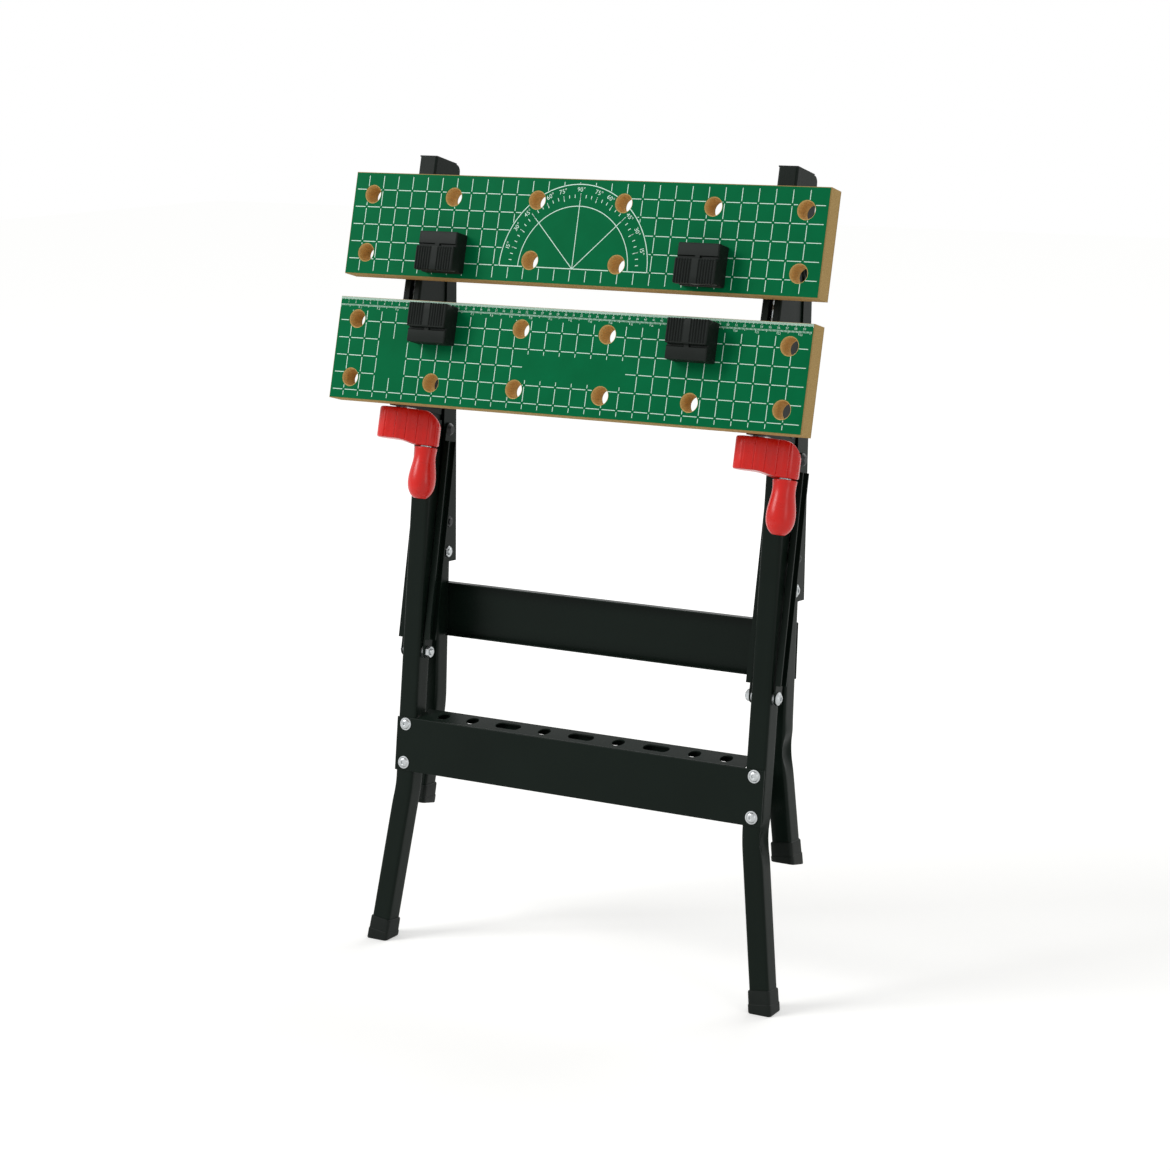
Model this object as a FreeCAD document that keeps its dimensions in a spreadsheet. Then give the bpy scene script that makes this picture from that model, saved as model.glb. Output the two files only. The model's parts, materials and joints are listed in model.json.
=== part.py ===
import FreeCAD, Part
import math
import os

import Sketcher

# Folding clamping workbench in its stored position: the top is flipped up in line with
# the legs and the bench stands on its front feet.  X runs along the jaws, Y from the
# front feet towards the back, Z up.  The origin is on the floor under the middle of the
# bench.  The top is drawn as it lies in use (jaws level, rails running back along Y) and
# then turned about the front pivot; the legs are drawn straight down from their pivots.

SIZES = {
    # jaws
    "jaw_length": 602.0, "jaw_width": 118.0, "jaw_thick": 25.0, "jaw_gap": 26.5,
    "jaw_edge_break": 0.8, "dog_hole_diameter": 20.0, "dog_hole_chamfer": 1.0,
    "dog_hole_pitch": 110.0, "dog_row_pitch": 67.5,
    # rails
    "rail_spacing": 460.0, "sheet_wall": 1.5, "rail_overhang": 27.0, "rail_cap": 1.5,
    "fold_radius": 2.5, "beam_fold_radius": 1.2,
    "rail_depth_rear": 51.0, "rail_depth_front": 77.0, "rail_corner": 8.0,
    "slot_width": 6.5, "slot_front": 158.0, "slot_rear": 4.0, "block_height": 11.6,
    # pivots, measured from the rear edge of the rear jaw and down from the rail web
    "front_pivot_back": 250.0, "front_pivot_down": 67.4,
    "rear_pivot_back": 75.0, "rear_pivot_down": 53.4,
    # legs
    "tube_width": 24.0, "tube_corner": 3.0, "front_leg_length": 643.4,
    "rear_leg_length": 661.0, "front_bend": 452.0, "rear_bend": 535.0, "leg_flare": 7.5,
    "bend_radius": 150.0, "tube_start": 20.0, "plug_length": 75.0, "side_gap": 0.4,
    "channel_length": 365.0, "channel_front": 9.0, "channel_rear": 24.5,
    "channel_eye": 12.0, "channel_web_start": 22.0, "rear_tube_start": 300.0,
    "channel_bolt_low": 352.0, "channel_bolt_high": 316.0,
    # struts
    "strut_lower": 293.4, "strut_upper": 206.5, "strut_width": 16.0, "strut_wall": 1.8,
    "strut_flange": 7.0, "strut_washer": 2.3, "strut_flange_end": 14.0,
    # beams
    "beam_height": 64.0, "front_beam_top": 372.6, "rear_beam_top": 389.4,
    "shelf_depth": 28.0, "beam_lip": 12.0, "shelf_lip": 10.0, "shelf_rise": 9.0, "beam_end_gap": 2.0,
    "beam_bolt_top": 8.0, "beam_bolt_pitch": 46.0, "shelf_hole": 15.0, "shelf_slot_length": 33.0,
    "shelf_slot_width": 13.0, "shelf_pitch": 98.0, "shelf_outer": 187.0,
    # feet
    "cap_wall": 1.8, "cap_height": 26.0, "cap_floor": 5.0, "cap_gap": 0.2,
    # vice
    "screw_down": 9.0, "screw_radius": 4.0, "screw_core": 3.4, "collar_radius": 6.5,
    "thrust_collar": 1.4,
    "collar_length": 4.0, "nut_width": 18.6, "nut_length": 24.0, "nut_height": 13.0,
    "neck_width": 5.5, "neck_length": 16.0, "nut_back": 75.0, "plate_thick": 3.0,
    "plate_height": 26.0, "rear_plate_back": 18.0, "block_length": 60.0,
    "block_width": 64.0, "block_plate": 4.0, "slide_gap": 0.3, "block_screw_inset": 8.0,
    # cranks and knobs
    "crank_gap": 2.0, "crank_height": 36.0, "crank_hub": 17.0, "crank_end": 14.4,
    "crank_drop": 4.0,
    "crank_throw": 34.0, "crank_angle": -28.0, "crank_tail": 9.5, "crank_tail_angle": 152.0,
    "knob_gap": 1.5, "knob_neck": 13.0, "knob_belly": 16.0,
    "knob_length": 60.0, "pin_radius": 3.0, "pin_head": 5.5,
    # bench dogs
    "dog_length": 50.0, "dog_height": 26.0, "dog_reach": 20.0, "dog_face": 27.0,
    "dog_step": 22.0, "dog_tail": 24.5, "dog_peg_gap": 0.3, "dog_peg_length": 34.0,
    "dog_groove": 3.0, "dog_rib_pitch": 5.0, "dog_rib_depth": 1.4, "seat_gap": 0.1,
    # fasteners
    "bolt_radius": 4.0, "bolt_fit": 0.05, "bolt_head": 7.5, "bolt_head_height": 3.5,
    "nut_across": 7.0, "nut_thick": 5.0, "wood_screw_radius": 2.0,
    "wood_screw_length": 16.0, "wood_screw_head": 4.0, "block_bolt_radius": 2.5,
    "block_bolt_head": 5.0, "block_bolt_pitch": 40.0, "block_bolt_length": 10.5,
    # rest position, in degrees
    "top_lean": 14.4, "front_leg_fold": 7.4, "rear_leg_fold": 11.2,
}

doc = FreeCAD.newDocument("workbench")
sheet = doc.addObject("Spreadsheet::Sheet", "Sheet")
for row, (alias, value) in enumerate(SIZES.items(), start=1):
    sheet.set("A%d" % row, alias)
    sheet.set("B%d" % row, str(value))
    sheet.setAlias("B%d" % row, alias)
doc.recompute()

V = FreeCAD.Vector


class Size:
    """A length that knows its number and the sheet expression it comes from."""

    def __init__(self, text, value):
        self.text = text
        self.value = value

    def join(self, other, sign, value):
        return Size("(%s %s %s)" % (self.text, sign, as_size(other).text), value)

    def __add__(self, other):
        return self.join(other, "+", self.value + as_size(other).value)

    def __sub__(self, other):
        return self.join(other, "-", self.value - as_size(other).value)

    def __mul__(self, other):
        return self.join(other, "*", self.value * as_size(other).value)

    def __truediv__(self, other):
        return self.join(other, "/", self.value / as_size(other).value)

    def __neg__(self):
        return Size("(0 - %s)" % self.text, -self.value)


def as_size(number):
    if isinstance(number, Size):
        return number
    return Size(repr(float(number)), float(number))


def dim(alias):
    return Size("Sheet." + alias, float(SIZES[alias]))


# ---------------------------------------------------------------- placements

def turn_x(degrees):
    return FreeCAD.Rotation(V(1, 0, 0), degrees)


def move(x=0.0, y=0.0, z=0.0):
    return FreeCAD.Placement(V(x, y, z), FreeCAD.Rotation())


def value(alias):
    return SIZES[alias]


half_span = value("rail_spacing") / 2
web_level = -value("jaw_thick") - value("block_height")
front_pivot_in_top = V(0, -value("front_pivot_back"), web_level - value("front_pivot_down"))
rear_pivot_in_top = V(0, -value("rear_pivot_back"), web_level - value("rear_pivot_down"))
front_lean = value("top_lean") - value("front_leg_fold")
rear_lean = value("top_lean") - value("rear_leg_fold")
pivot_height = value("front_leg_length") * math.cos(math.radians(front_lean))


def frames(shift):
    """Placements of the front legs, top, rear legs and struts at rest."""
    front_pivot = V(0, shift, pivot_height)
    legs = FreeCAD.Placement(front_pivot, turn_x(-front_lean))
    top = FreeCAD.Placement(front_pivot, turn_x(90 - value("top_lean")))
    top = top * FreeCAD.Placement(-front_pivot_in_top, FreeCAD.Rotation())
    rear = FreeCAD.Placement(top.multVec(rear_pivot_in_top), turn_x(-rear_lean))
    low = legs.multVec(V(0, 0, -value("strut_lower")))
    high = rear.multVec(V(0, 0, -value("strut_upper")))
    lean = math.degrees(math.atan2(high.y - low.y, high.z - low.z))
    strut = FreeCAD.Placement(low, turn_x(-lean))
    return {"legs": legs, "top": top, "rear": rear, "strut": strut, "reach": (high - low).Length}


# Angle of the rear legs in use, when all four feet stand on the floor.
rear_pivot_height = pivot_height + (rear_pivot_in_top - front_pivot_in_top).z
rear_spread = math.degrees(math.acos(rear_pivot_height / value("rear_leg_length")))

# ------------------------------------------------------- PartDesign helpers

outputs = []


def new_body(label):
    body = doc.addObject("PartDesign::Body", label)
    body.Label = label
    return body


def sketch_on(body, role, offset=None):
    """An empty sketch on one of the body's own origin planes, offset along its normal."""
    sketch = body.newObject("Sketcher::SketchObject", body.Label + "_sketch")
    plane = [f for f in body.Origin.OriginFeatures if f.Role == role][0]
    sketch.AttachmentSupport = [(plane, "")]
    sketch.MapMode = "FlatFace"
    if offset is not None:
        offset = as_size(offset)
        sketch.AttachmentOffset = move(z=offset.value)
        sketch.setExpression("AttachmentOffset.Base.z", offset.text)
    return sketch


def bind(sketch, kind, where, size):
    size = as_size(size)
    index = sketch.addConstraint(Sketcher.Constraint(kind, *where, size.value))
    if "Sheet." in size.text:
        sketch.setExpression("Constraints[%d]" % index, size.text)


def pin_point(sketch, curve, end, x, y):
    """Fix one end (or centre) of a curve by its two distances from the origin."""
    for kind, size, axis in (("DistanceX", as_size(x), -2), ("DistanceY", as_size(y), -1)):
        if size.value == 0.0:
            sketch.addConstraint(Sketcher.Constraint("PointOnObject", curve, end, axis))
        else:
            bind(sketch, kind, (-1, 1, curve, end), size)


def outline(sketch, points):
    """A closed polygon through points whose coordinates are sizes."""
    first = sketch.GeometryCount
    numbers = [V(as_size(x).value, as_size(y).value, 0) for x, y in points]
    for i, start in enumerate(numbers):
        sketch.addGeometry(Part.LineSegment(start, numbers[(i + 1) % len(numbers)]), False)
    for i, (x, y) in enumerate(points):
        following = first + (i + 1) % len(points)
        sketch.addConstraint(Sketcher.Constraint("Coincident", first + i, 2, following, 1))
        pin_point(sketch, first + i, 1, x, y)


def rectangle(sketch, x0, x1, y0, y1):
    outline(sketch, [(x0, y0), (x1, y0), (x1, y1), (x0, y1)])


def circle(sketch, x, y, radius):
    centre = V(as_size(x).value, as_size(y).value, 0)
    index = sketch.addGeometry(Part.Circle(centre, V(0, 0, 1), as_size(radius).value), False)
    pin_point(sketch, index, 3, x, y)
    bind(sketch, "Radius", (index,), radius)


def feature(body, kind, sketch, length=None, symmetric=False, reverse=False):
    """Pad or pocket a sketch; a pocket with no length goes through everything."""
    made = body.newObject("PartDesign::" + kind, body.Label + "_" + kind.lower())
    made.Profile = sketch
    if length is None:
        made.Type = "ThroughAll"
    else:
        made.Length = as_size(length).value
        made.setExpression("Length", as_size(length).text)
    made.SideType = "Symmetric" if symmetric else "One side"
    made.Reversed = reverse
    doc.recompute()
    return made


def cut(body, sketch, length=None, symmetric=True, reverse=False):
    """A pocket that has to take material away."""
    before = body.Shape.Volume
    made = feature(body, "Pocket", sketch, length, symmetric, reverse)
    if body.Shape.Volume >= before - 1e-6:
        raise ValueError("pocket in %s cuts nothing" % body.Label)
    return made


def revolve(body, sketch):
    made = body.newObject("PartDesign::Revolution", body.Label + "_revolution")
    made.Profile = sketch
    made.ReferenceAxis = (sketch, ["V_Axis"])
    made.Angle = 360.0
    doc.recompute()
    return made


def repeat(body, originals, sketch, axis, length, count):
    pattern = body.newObject("PartDesign::LinearPattern", body.Label + "_pattern")
    pattern.Originals = originals
    pattern.Direction = (sketch, [axis])
    pattern.Length = as_size(length).value
    pattern.setExpression("Length", as_size(length).text)
    pattern.Occurrences = count
    body.Tip = pattern
    doc.recompute()
    return pattern


def chamfer(body, base, size, wanted):
    """Chamfer the edges of a feature that the test picks."""
    names = ["Edge%d" % (i + 1) for i, edge in enumerate(base.Shape.Edges) if wanted(edge)]
    made = body.newObject("PartDesign::Chamfer", body.Label + "_chamfer")
    made.Base = (base, names)
    made.Size = as_size(size).value
    made.setExpression("Size", as_size(size).text)
    doc.recompute()
    return made


def fillet(body, base, radius, wanted):
    """Round the edges of a feature that the test picks."""
    names = ["Edge%d" % (i + 1) for i, edge in enumerate(base.Shape.Edges) if wanted(edge)]
    made = body.newObject("PartDesign::Fillet", body.Label + "_fillet")
    made.Base = (base, names)
    made.Radius = as_size(radius).value
    made.setExpression("Radius", as_size(radius).text)
    doc.recompute()
    return made


def deliver(shape_object, label, frame, local=None):
    """Remember an object, the frame it rides in and its place in that frame."""
    shape_object.Label = label
    outputs.append((shape_object, label, frame, local or FreeCAD.Placement()))


# ------------------------------------------------------ primitive helpers

def primitive(kind, name, local=None, **sizes):
    made = doc.addObject("Part::" + kind, name)
    for key, size in sizes.items():
        size = as_size(size)
        setattr(made, key, size.value)
        if "Sheet." in size.text:
            made.setExpression(key, size.text)
    made.Placement = local or FreeCAD.Placement()
    return made


def boolean(kind, name, parts):
    """Cut takes the second from the first; MultiFuse and Compound take a list."""
    made = doc.addObject("Part::" + kind, name)
    if kind in ("Cut", "Common"):
        made.Base, made.Tool = parts
    elif kind == "MultiFuse":
        made.Shapes = parts
        made.Refine = True
    else:
        made.Links = parts
    return made


def bolt(name, local, grip):
    """A domed bolt along local +Z with its hexagon nut past the grip."""
    length = as_size(grip) + dim("nut_thick") + 2.0
    shank = primitive("Cylinder", name + "_shank", Radius=dim("bolt_radius"), Height=length)
    head = primitive("Cone", name + "_head", Radius1=dim("bolt_head") * 0.55,
                     Radius2=dim("bolt_head"), Height=dim("bolt_head_height"),
                     local=move(z=-value("bolt_head_height")))
    nut = primitive("Prism", name + "_nut", Circumradius=dim("nut_across"),
                    Height=dim("nut_thick"), local=move(z=as_size(grip).value))
    nut.Polygon = 6
    made = boolean("MultiFuse", name, [shank, head, nut])
    made.Placement = local
    return made


def group(label, frame, pieces):
    deliver(boolean("Compound", label, pieces), label, frame)


def along(direction, x, y, z):
    """A placement at x, y, z whose +Z points in a direction."""
    return FreeCAD.Placement(V(x, y, z), FreeCAD.Rotation(V(0, 0, 1), direction))


SIDES = (("left", -1), ("right", 1))
reach = frames(0.0)["reach"]
web = -(dim("jaw_thick") + dim("block_height"))
total_depth = dim("jaw_width") * 2 + dim("jaw_gap")
hole_radius = dim("bolt_radius") + dim("bolt_fit")
rail_width = dim("tube_width") - dim("side_gap") * 2
front_centre = -(dim("jaw_width") * 1.5 + dim("jaw_gap"))
rear_centre = -(dim("jaw_width") / 2)

# ----------------------------------------------------------------- the jaws

def is_rim(edge):
    """A full circle or straight edge lying in the printed face."""
    return abs(edge.BoundBox.ZMin) < 1e-6 and abs(edge.BoundBox.ZMax) < 1e-6


def jaw(label, front):
    """A board with two rows of dog holes; its printed face is at z = 0."""
    body = new_body(label)
    half = dim("jaw_length") / 2
    plan = sketch_on(body, "XY_Plane")
    rectangle(plan, -half, half, -(as_size(front) + dim("jaw_width")), -as_size(front))
    board = feature(body, "Pad", plan, dim("jaw_thick"), reverse=True)
    holes = sketch_on(body, "XY_Plane")
    middle = -(as_size(front) + dim("jaw_width") / 2)
    first = -(dim("dog_hole_pitch") * 2.5)
    for row_offset in (-(dim("dog_row_pitch") / 2), dim("dog_row_pitch") / 2):
        circle(holes, first, middle + row_offset, dim("dog_hole_diameter") / 2)
    pocket = cut(body, holes, symmetric=False)
    repeat(body, [pocket], holes, "H_Axis", dim("dog_hole_pitch") * 5, 6)
    base = body.Tip
    chamfer(body, base, dim("dog_hole_chamfer"), is_rim)
    deliver(body, label, "top")


jaw("rear_jaw", 0.0)
jaw("front_jaw", dim("jaw_width") + dim("jaw_gap"))

# ---------------------------------------------------------------- the rails

def rail(label, side):
    """A folded channel, deeper at the front, with a lengthwise slot in its web."""
    body = new_body(label)
    front = -total_depth
    rear = dim("rail_overhang")
    profile = sketch_on(body, "YZ_Plane")
    outline(profile, [(front, web), (rear, web), (rear, web - dim("rail_depth_rear")),
                      (front, web - dim("rail_depth_front"))])
    block = feature(body, "Pad", profile, rail_width, symmetric=True)
    corner = fillet(body, block, dim("rail_corner"), lambda edge: (
        abs(edge.BoundBox.YMin - rear.value) < 1e-6 and edge.BoundBox.YLength < 1e-6
        and abs(edge.BoundBox.ZMax - (web - dim("rail_depth_rear")).value) < 1e-6))
    fillet(body, corner, dim("fold_radius"), lambda edge: (
        edge.BoundBox.YLength > rear.value and abs(edge.BoundBox.ZMin - web.value) < 1e-6))
    inside = sketch_on(body, "YZ_Plane")
    rectangle(inside, front - 5.0, rear + 5.0, web - dim("rail_depth_front") - 5.0,
              web - dim("sheet_wall"))
    cut(body, inside, rail_width - dim("sheet_wall") * 2)
    slot = sketch_on(body, "XY_Plane", web - dim("sheet_wall") / 2)
    half = dim("slot_width") / 2
    rectangle(slot, -half, half, -dim("slot_front"), -dim("slot_rear"))
    cut(body, slot, dim("sheet_wall") * 2)
    seats = sketch_on(body, "XY_Plane", web - dim("sheet_wall") / 2)
    for step in (-0.5, 0.5):
        circle(seats, 0.0, front_centre + dim("block_bolt_pitch") * step,
               dim("block_bolt_radius") + dim("bolt_fit"))
    cut(body, seats, dim("sheet_wall") * 2)
    pivots = sketch_on(body, "YZ_Plane")
    circle(pivots, -dim("front_pivot_back"), web - dim("front_pivot_down"), hole_radius)
    circle(pivots, -dim("rear_pivot_back"), web - dim("rear_pivot_down"), hole_radius)
    cut(body, pivots)
    deliver(body, label, "top", move(x=side * half_span))


def rail_cap(label, side):
    """A thin plate that closes the rear end of a rail, with the rail's rounded corner."""
    body = new_body(label)
    plan = sketch_on(body, "XZ_Plane")
    half = rail_width / 2
    rectangle(plan, -half, half, web - dim("rail_depth_rear") + dim("rail_corner"), web)
    feature(body, "Pad", plan, dim("rail_cap"), symmetric=True)
    place = value("rail_overhang") + value("rail_cap") / 2
    deliver(body, label, "top", move(x=side * half_span, y=place))


for name, side in SIDES:
    rail("rail_" + name, side)
    rail_cap("rail_cap_" + name, side)

# ------------------------------------------------------------ legs and struts

def rounded_square(sketch, half, corner):
    """A square ring contour with rounded corners, centred on the origin."""
    half = as_size(half)
    corner = as_size(corner)
    straight = half - corner
    first = sketch.GeometryCount
    h, s, r = half.value, straight.value, corner.value
    for quarter in range(4):
        turn = FreeCAD.Rotation(V(0, 0, 1), 90.0 * quarter)
        start = turn.multVec(V(h, -s, 0))
        stop = turn.multVec(V(h, s, 0))
        centre = turn.multVec(V(s, s, 0))
        arc = Part.ArcOfCircle(Part.Circle(centre, V(0, 0, 1), r),
                               math.pi / 2 * quarter, math.pi / 2 * (quarter + 1))
        sketch.addGeometry(Part.LineSegment(start, stop), False)
        sketch.addGeometry(arc, False)
    signs = ((1, 1), (-1, 1), (-1, -1), (1, -1))
    for quarter in range(4):
        line = first + 2 * quarter
        after = first + (2 * quarter + 2) % 8
        sketch.addConstraint(Sketcher.Constraint("Tangent", line, 2, line + 1, 1))
        sketch.addConstraint(Sketcher.Constraint("Tangent", line + 1, 2, after, 1))
        x, y = signs[quarter]
        pin_point(sketch, line + 1, 3, straight * x, straight * y)
    bind(sketch, "Radius", (first + 1,), corner)


def leg_tube(label, frame, side, start, bend, length):
    """A rounded square tube swept down a line, round the bend and out to the foot."""
    body = new_body(label)
    flare = math.radians(value("leg_flare"))
    start, bend, length = as_size(start), as_size(bend), as_size(length)
    end = length.value - value("cap_floor") - 3.0
    radius = value("bend_radius")
    tangent = radius * math.tan(flare / 2)
    path = sketch_on(body, "XZ_Plane")
    top, corner = V(0, -start.value, 0), V(0, -bend.value, 0)
    below = (end - bend.value) / math.cos(flare)
    slant = V(math.sin(flare), -math.cos(flare), 0)
    first_stop, second_start = corner + V(0, tangent, 0), corner + slant * tangent
    path.addGeometry(Part.LineSegment(top, first_stop), False)
    centre = V(radius, first_stop.y, 0)
    path.addGeometry(Part.ArcOfCircle(Part.Circle(centre, V(0, 0, 1), radius), math.pi,
                                      math.pi + flare), False)
    path.addGeometry(Part.LineSegment(second_start, corner + slant * below), False)
    path.addConstraint(Sketcher.Constraint("Tangent", 0, 2, 1, 1))
    path.addConstraint(Sketcher.Constraint("Tangent", 1, 2, 2, 1))
    pin_point(path, 0, 1, 0.0, -start)
    path.addConstraint(Sketcher.Constraint("PointOnObject", 0, 2, -2))
    bind(path, "Radius", (1,), dim("bend_radius"))
    drop = Size("(%s + tan(Sheet.leg_flare * 1deg / 2) * Sheet.bend_radius)" % (-bend).text,
                -bend.value + tangent)
    bind(path, "DistanceY", (-1, 1, 0, 2), drop)
    foot = Size("(%s - Sheet.cap_floor - 3)" % length.text, end)
    bind(path, "DistanceY", (-1, 1, 2, 2), -foot)
    out = Size("((%s - %s) * tan(Sheet.leg_flare * 1deg))" % (foot.text, bend.text),
               (end - bend.value) * math.tan(flare))
    bind(path, "DistanceX", (-1, 1, 2, 2), out)
    section = sketch_on(body, "XY_Plane", -start)
    rounded_square(section, dim("tube_width") / 2, dim("tube_corner"))
    inner = dim("tube_corner") - dim("sheet_wall")
    rounded_square(section, dim("tube_width") / 2 - dim("sheet_wall"), inner)
    pipe = body.newObject("PartDesign::AdditivePipe", label + "_pipe")
    pipe.Profile = section
    pipe.Spine = path
    doc.recompute()
    turned = FreeCAD.Rotation(V(0, 0, 1), 0 if side > 0 else 180)
    deliver(body, label, frame, FreeCAD.Placement(V(side * half_span, 0, 0), turned))
    return body


def drill_side(body, level):
    holes = sketch_on(body, "YZ_Plane")
    circle(holes, 0.0, -as_size(level), hole_radius)
    cut(body, holes)


def drill_front(body, top):
    holes = sketch_on(body, "XZ_Plane")
    level = -(as_size(top) + dim("beam_bolt_top"))
    circle(holes, 0.0, level, hole_radius)
    circle(holes, 0.0, level - dim("beam_bolt_pitch"), hole_radius)
    cut(body, holes)


def hinge_plug(label, side):
    """The plug that closes the top of a front leg and turns inside the rail."""
    body = new_body(label)
    half = rail_width / 2 - dim("sheet_wall") - dim("slide_gap")
    profile = sketch_on(body, "YZ_Plane")
    rectangle(profile, -half, half, -dim("tube_start"), 0.0)
    feature(body, "Pad", profile, half * 2, symmetric=True)
    insert = sketch_on(body, "YZ_Plane")
    flat = dim("tube_width") / 2 - dim("tube_corner")
    rectangle(insert, -flat, flat, -dim("plug_length"), -dim("tube_start"))
    feature(body, "Pad", insert, dim("tube_width") - dim("sheet_wall") * 2, symmetric=True)
    eye = sketch_on(body, "YZ_Plane")
    circle(eye, 0.0, 0.0, half)
    feature(body, "Pad", eye, half * 2, symmetric=True)
    drill_side(body, 0.0)
    deliver(body, label, "legs", move(x=side * half_span))


def rear_channel(label, side):
    """The upper rear leg: two side plates that straddle the rail, joined by a rear web."""
    body = new_body(label)
    front = -dim("channel_front")
    rear_top = dim("channel_eye")
    foot = -dim("channel_length")
    profile = sketch_on(body, "YZ_Plane")
    outline(profile, [(front, 0.0), (rear_top, 0.0), (dim("channel_rear"), foot), (front, foot)])
    inner = dim("tube_width")
    feature(body, "Pad", profile, inner + dim("sheet_wall") * 2, symmetric=True)
    eye = sketch_on(body, "YZ_Plane")
    circle(eye, 0.0, 0.0, dim("channel_eye"))
    feature(body, "Pad", eye, inner + dim("sheet_wall") * 2, symmetric=True)
    fillet(body, body.Tip, dim("fold_radius"), lambda edge: (
        edge.Length > dim("channel_length").value * 0.9 and edge.BoundBox.YLength > 1.0))
    hollow = sketch_on(body, "YZ_Plane")
    slope = (dim("channel_rear") - rear_top) / dim("channel_length")
    start = dim("channel_web_start")
    web_top = rear_top + slope * start - dim("sheet_wall")
    outline(hollow, [(-30.0, 30.0), (30.0, 30.0), (30.0, -start), (web_top, -start),
                     (dim("channel_rear") - dim("sheet_wall"), foot - 1.0), (-30.0, foot - 1.0)])
    cut(body, hollow, inner)
    drill_side(body, 0.0)
    drill_side(body, dim("strut_upper"))
    drill_side(body, dim("channel_bolt_low"))
    drill_side(body, dim("channel_bolt_high"))
    deliver(body, label, "rear", move(x=side * half_span))


def strut(label, side, face):
    """A flat bar with two turned-out edges, from the front leg to the rear leg."""
    body = new_body(label)
    half = dim("strut_width") / 2
    length = Size(repr(reach), reach)
    profile = sketch_on(body, "YZ_Plane")
    rectangle(profile, -half, half, 0.0, length)
    feature(body, "Pad", profile, dim("strut_wall"))
    for level in (0.0, length):
        eye = sketch_on(body, "YZ_Plane")
        circle(eye, 0.0, level, half)
        feature(body, "Pad", eye, dim("strut_wall"))
    flanges = sketch_on(body, "YZ_Plane")
    low = dim("strut_flange_end")
    rectangle(flanges, -half, -(half - dim("strut_wall")), low, length - low)
    rectangle(flanges, half - dim("strut_wall"), half, low, length - low)
    feature(body, "Pad", flanges, dim("strut_flange"))
    holes = sketch_on(body, "YZ_Plane")
    circle(holes, 0.0, 0.0, hole_radius)
    circle(holes, 0.0, length, hole_radius)
    cut(body, holes)
    inner = value("tube_width") / 2 + value("strut_washer")
    turned = FreeCAD.Rotation(V(0, 0, 1), 0 if face > 0 else 180)
    offset = side * half_span + face * inner
    deliver(body, label, "strut", FreeCAD.Placement(V(offset, 0, 0), turned))


for name, side in SIDES:
    front_leg = leg_tube("front_leg_" + name, "legs", side, dim("tube_start"),
                         dim("front_bend"), dim("front_leg_length"))
    drill_side(front_leg, dim("strut_lower"))
    drill_front(front_leg, dim("front_beam_top"))
    hinge_plug("front_leg_plug_" + name, side)
    rear_leg = leg_tube("rear_leg_" + name, "rear", side, dim("rear_tube_start"),
                        dim("rear_bend"), dim("rear_leg_length"))
    drill_side(rear_leg, dim("channel_bolt_low"))
    drill_side(rear_leg, dim("channel_bolt_high"))
    drill_front(rear_leg, dim("rear_beam_top"))
    rear_channel("rear_leg_channel_" + name, side)
    strut("strut_%s_outer" % name, side, side)
    strut("strut_%s_inner" % name, side, -side)

# ---------------------------------------------------------------- the beams

def beam(label, frame, top, face, upper_lip, lower_lip, rise=0.0):
    """A plate across the leg faces with a lip along each edge; face is its side in y.
    The upper lip climbs by rise from its fold to its free edge."""
    body = new_body(label)
    outer = dim("rail_spacing") / 2 + dim("tube_width") / 2
    inner = dim("rail_spacing") / 2 - dim("tube_width") / 2 - dim("beam_end_gap")
    near = dim("tube_width") / 2 * face
    far = (dim("tube_width") / 2 + dim("sheet_wall")) * face
    bottom = -(as_size(top) + dim("beam_height"))
    plan = sketch_on(body, "XY_Plane", bottom)
    rectangle(plan, -outer, outer, near, far)
    feature(body, "Pad", plan, dim("beam_height"))
    wall = dim("sheet_wall")
    lips = ((-as_size(top) - wall, upper_lip, as_size(rise)),
            (bottom, lower_lip, as_size(0.0)))
    for level, depth, climb in lips:
        lip = sketch_on(body, "YZ_Plane")
        fold = far - (wall + dim("beam_fold_radius")) * face
        free = far - as_size(depth) * face
        outline(lip, [(far, level), (fold, level), (free, level + climb),
                      (free, level + climb + wall), (fold, level + wall), (far, level + wall)])
        feature(body, "Pad", lip, inner * 2, symmetric=True)
    heights = (-as_size(top).value, bottom.value)
    fillet(body, body.Tip, dim("beam_fold_radius"), lambda edge: (
        edge.BoundBox.XLength > outer.value and abs(edge.BoundBox.YMax - far.value) < 1e-6
        and edge.BoundBox.YLength < 1e-6 and edge.BoundBox.ZLength < 1e-6
        and min(abs(edge.BoundBox.ZMin - height) for height in heights) < 1e-6))
    holes = sketch_on(body, "XZ_Plane")
    for x in (-(dim("rail_spacing") / 2), dim("rail_spacing") / 2):
        for drop in (as_size(0.0), dim("beam_bolt_pitch")):
            circle(holes, x, -(as_size(top) + dim("beam_bolt_top")) - drop, hole_radius)
    cut(body, holes)
    deliver(body, label, frame)
    return body


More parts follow.
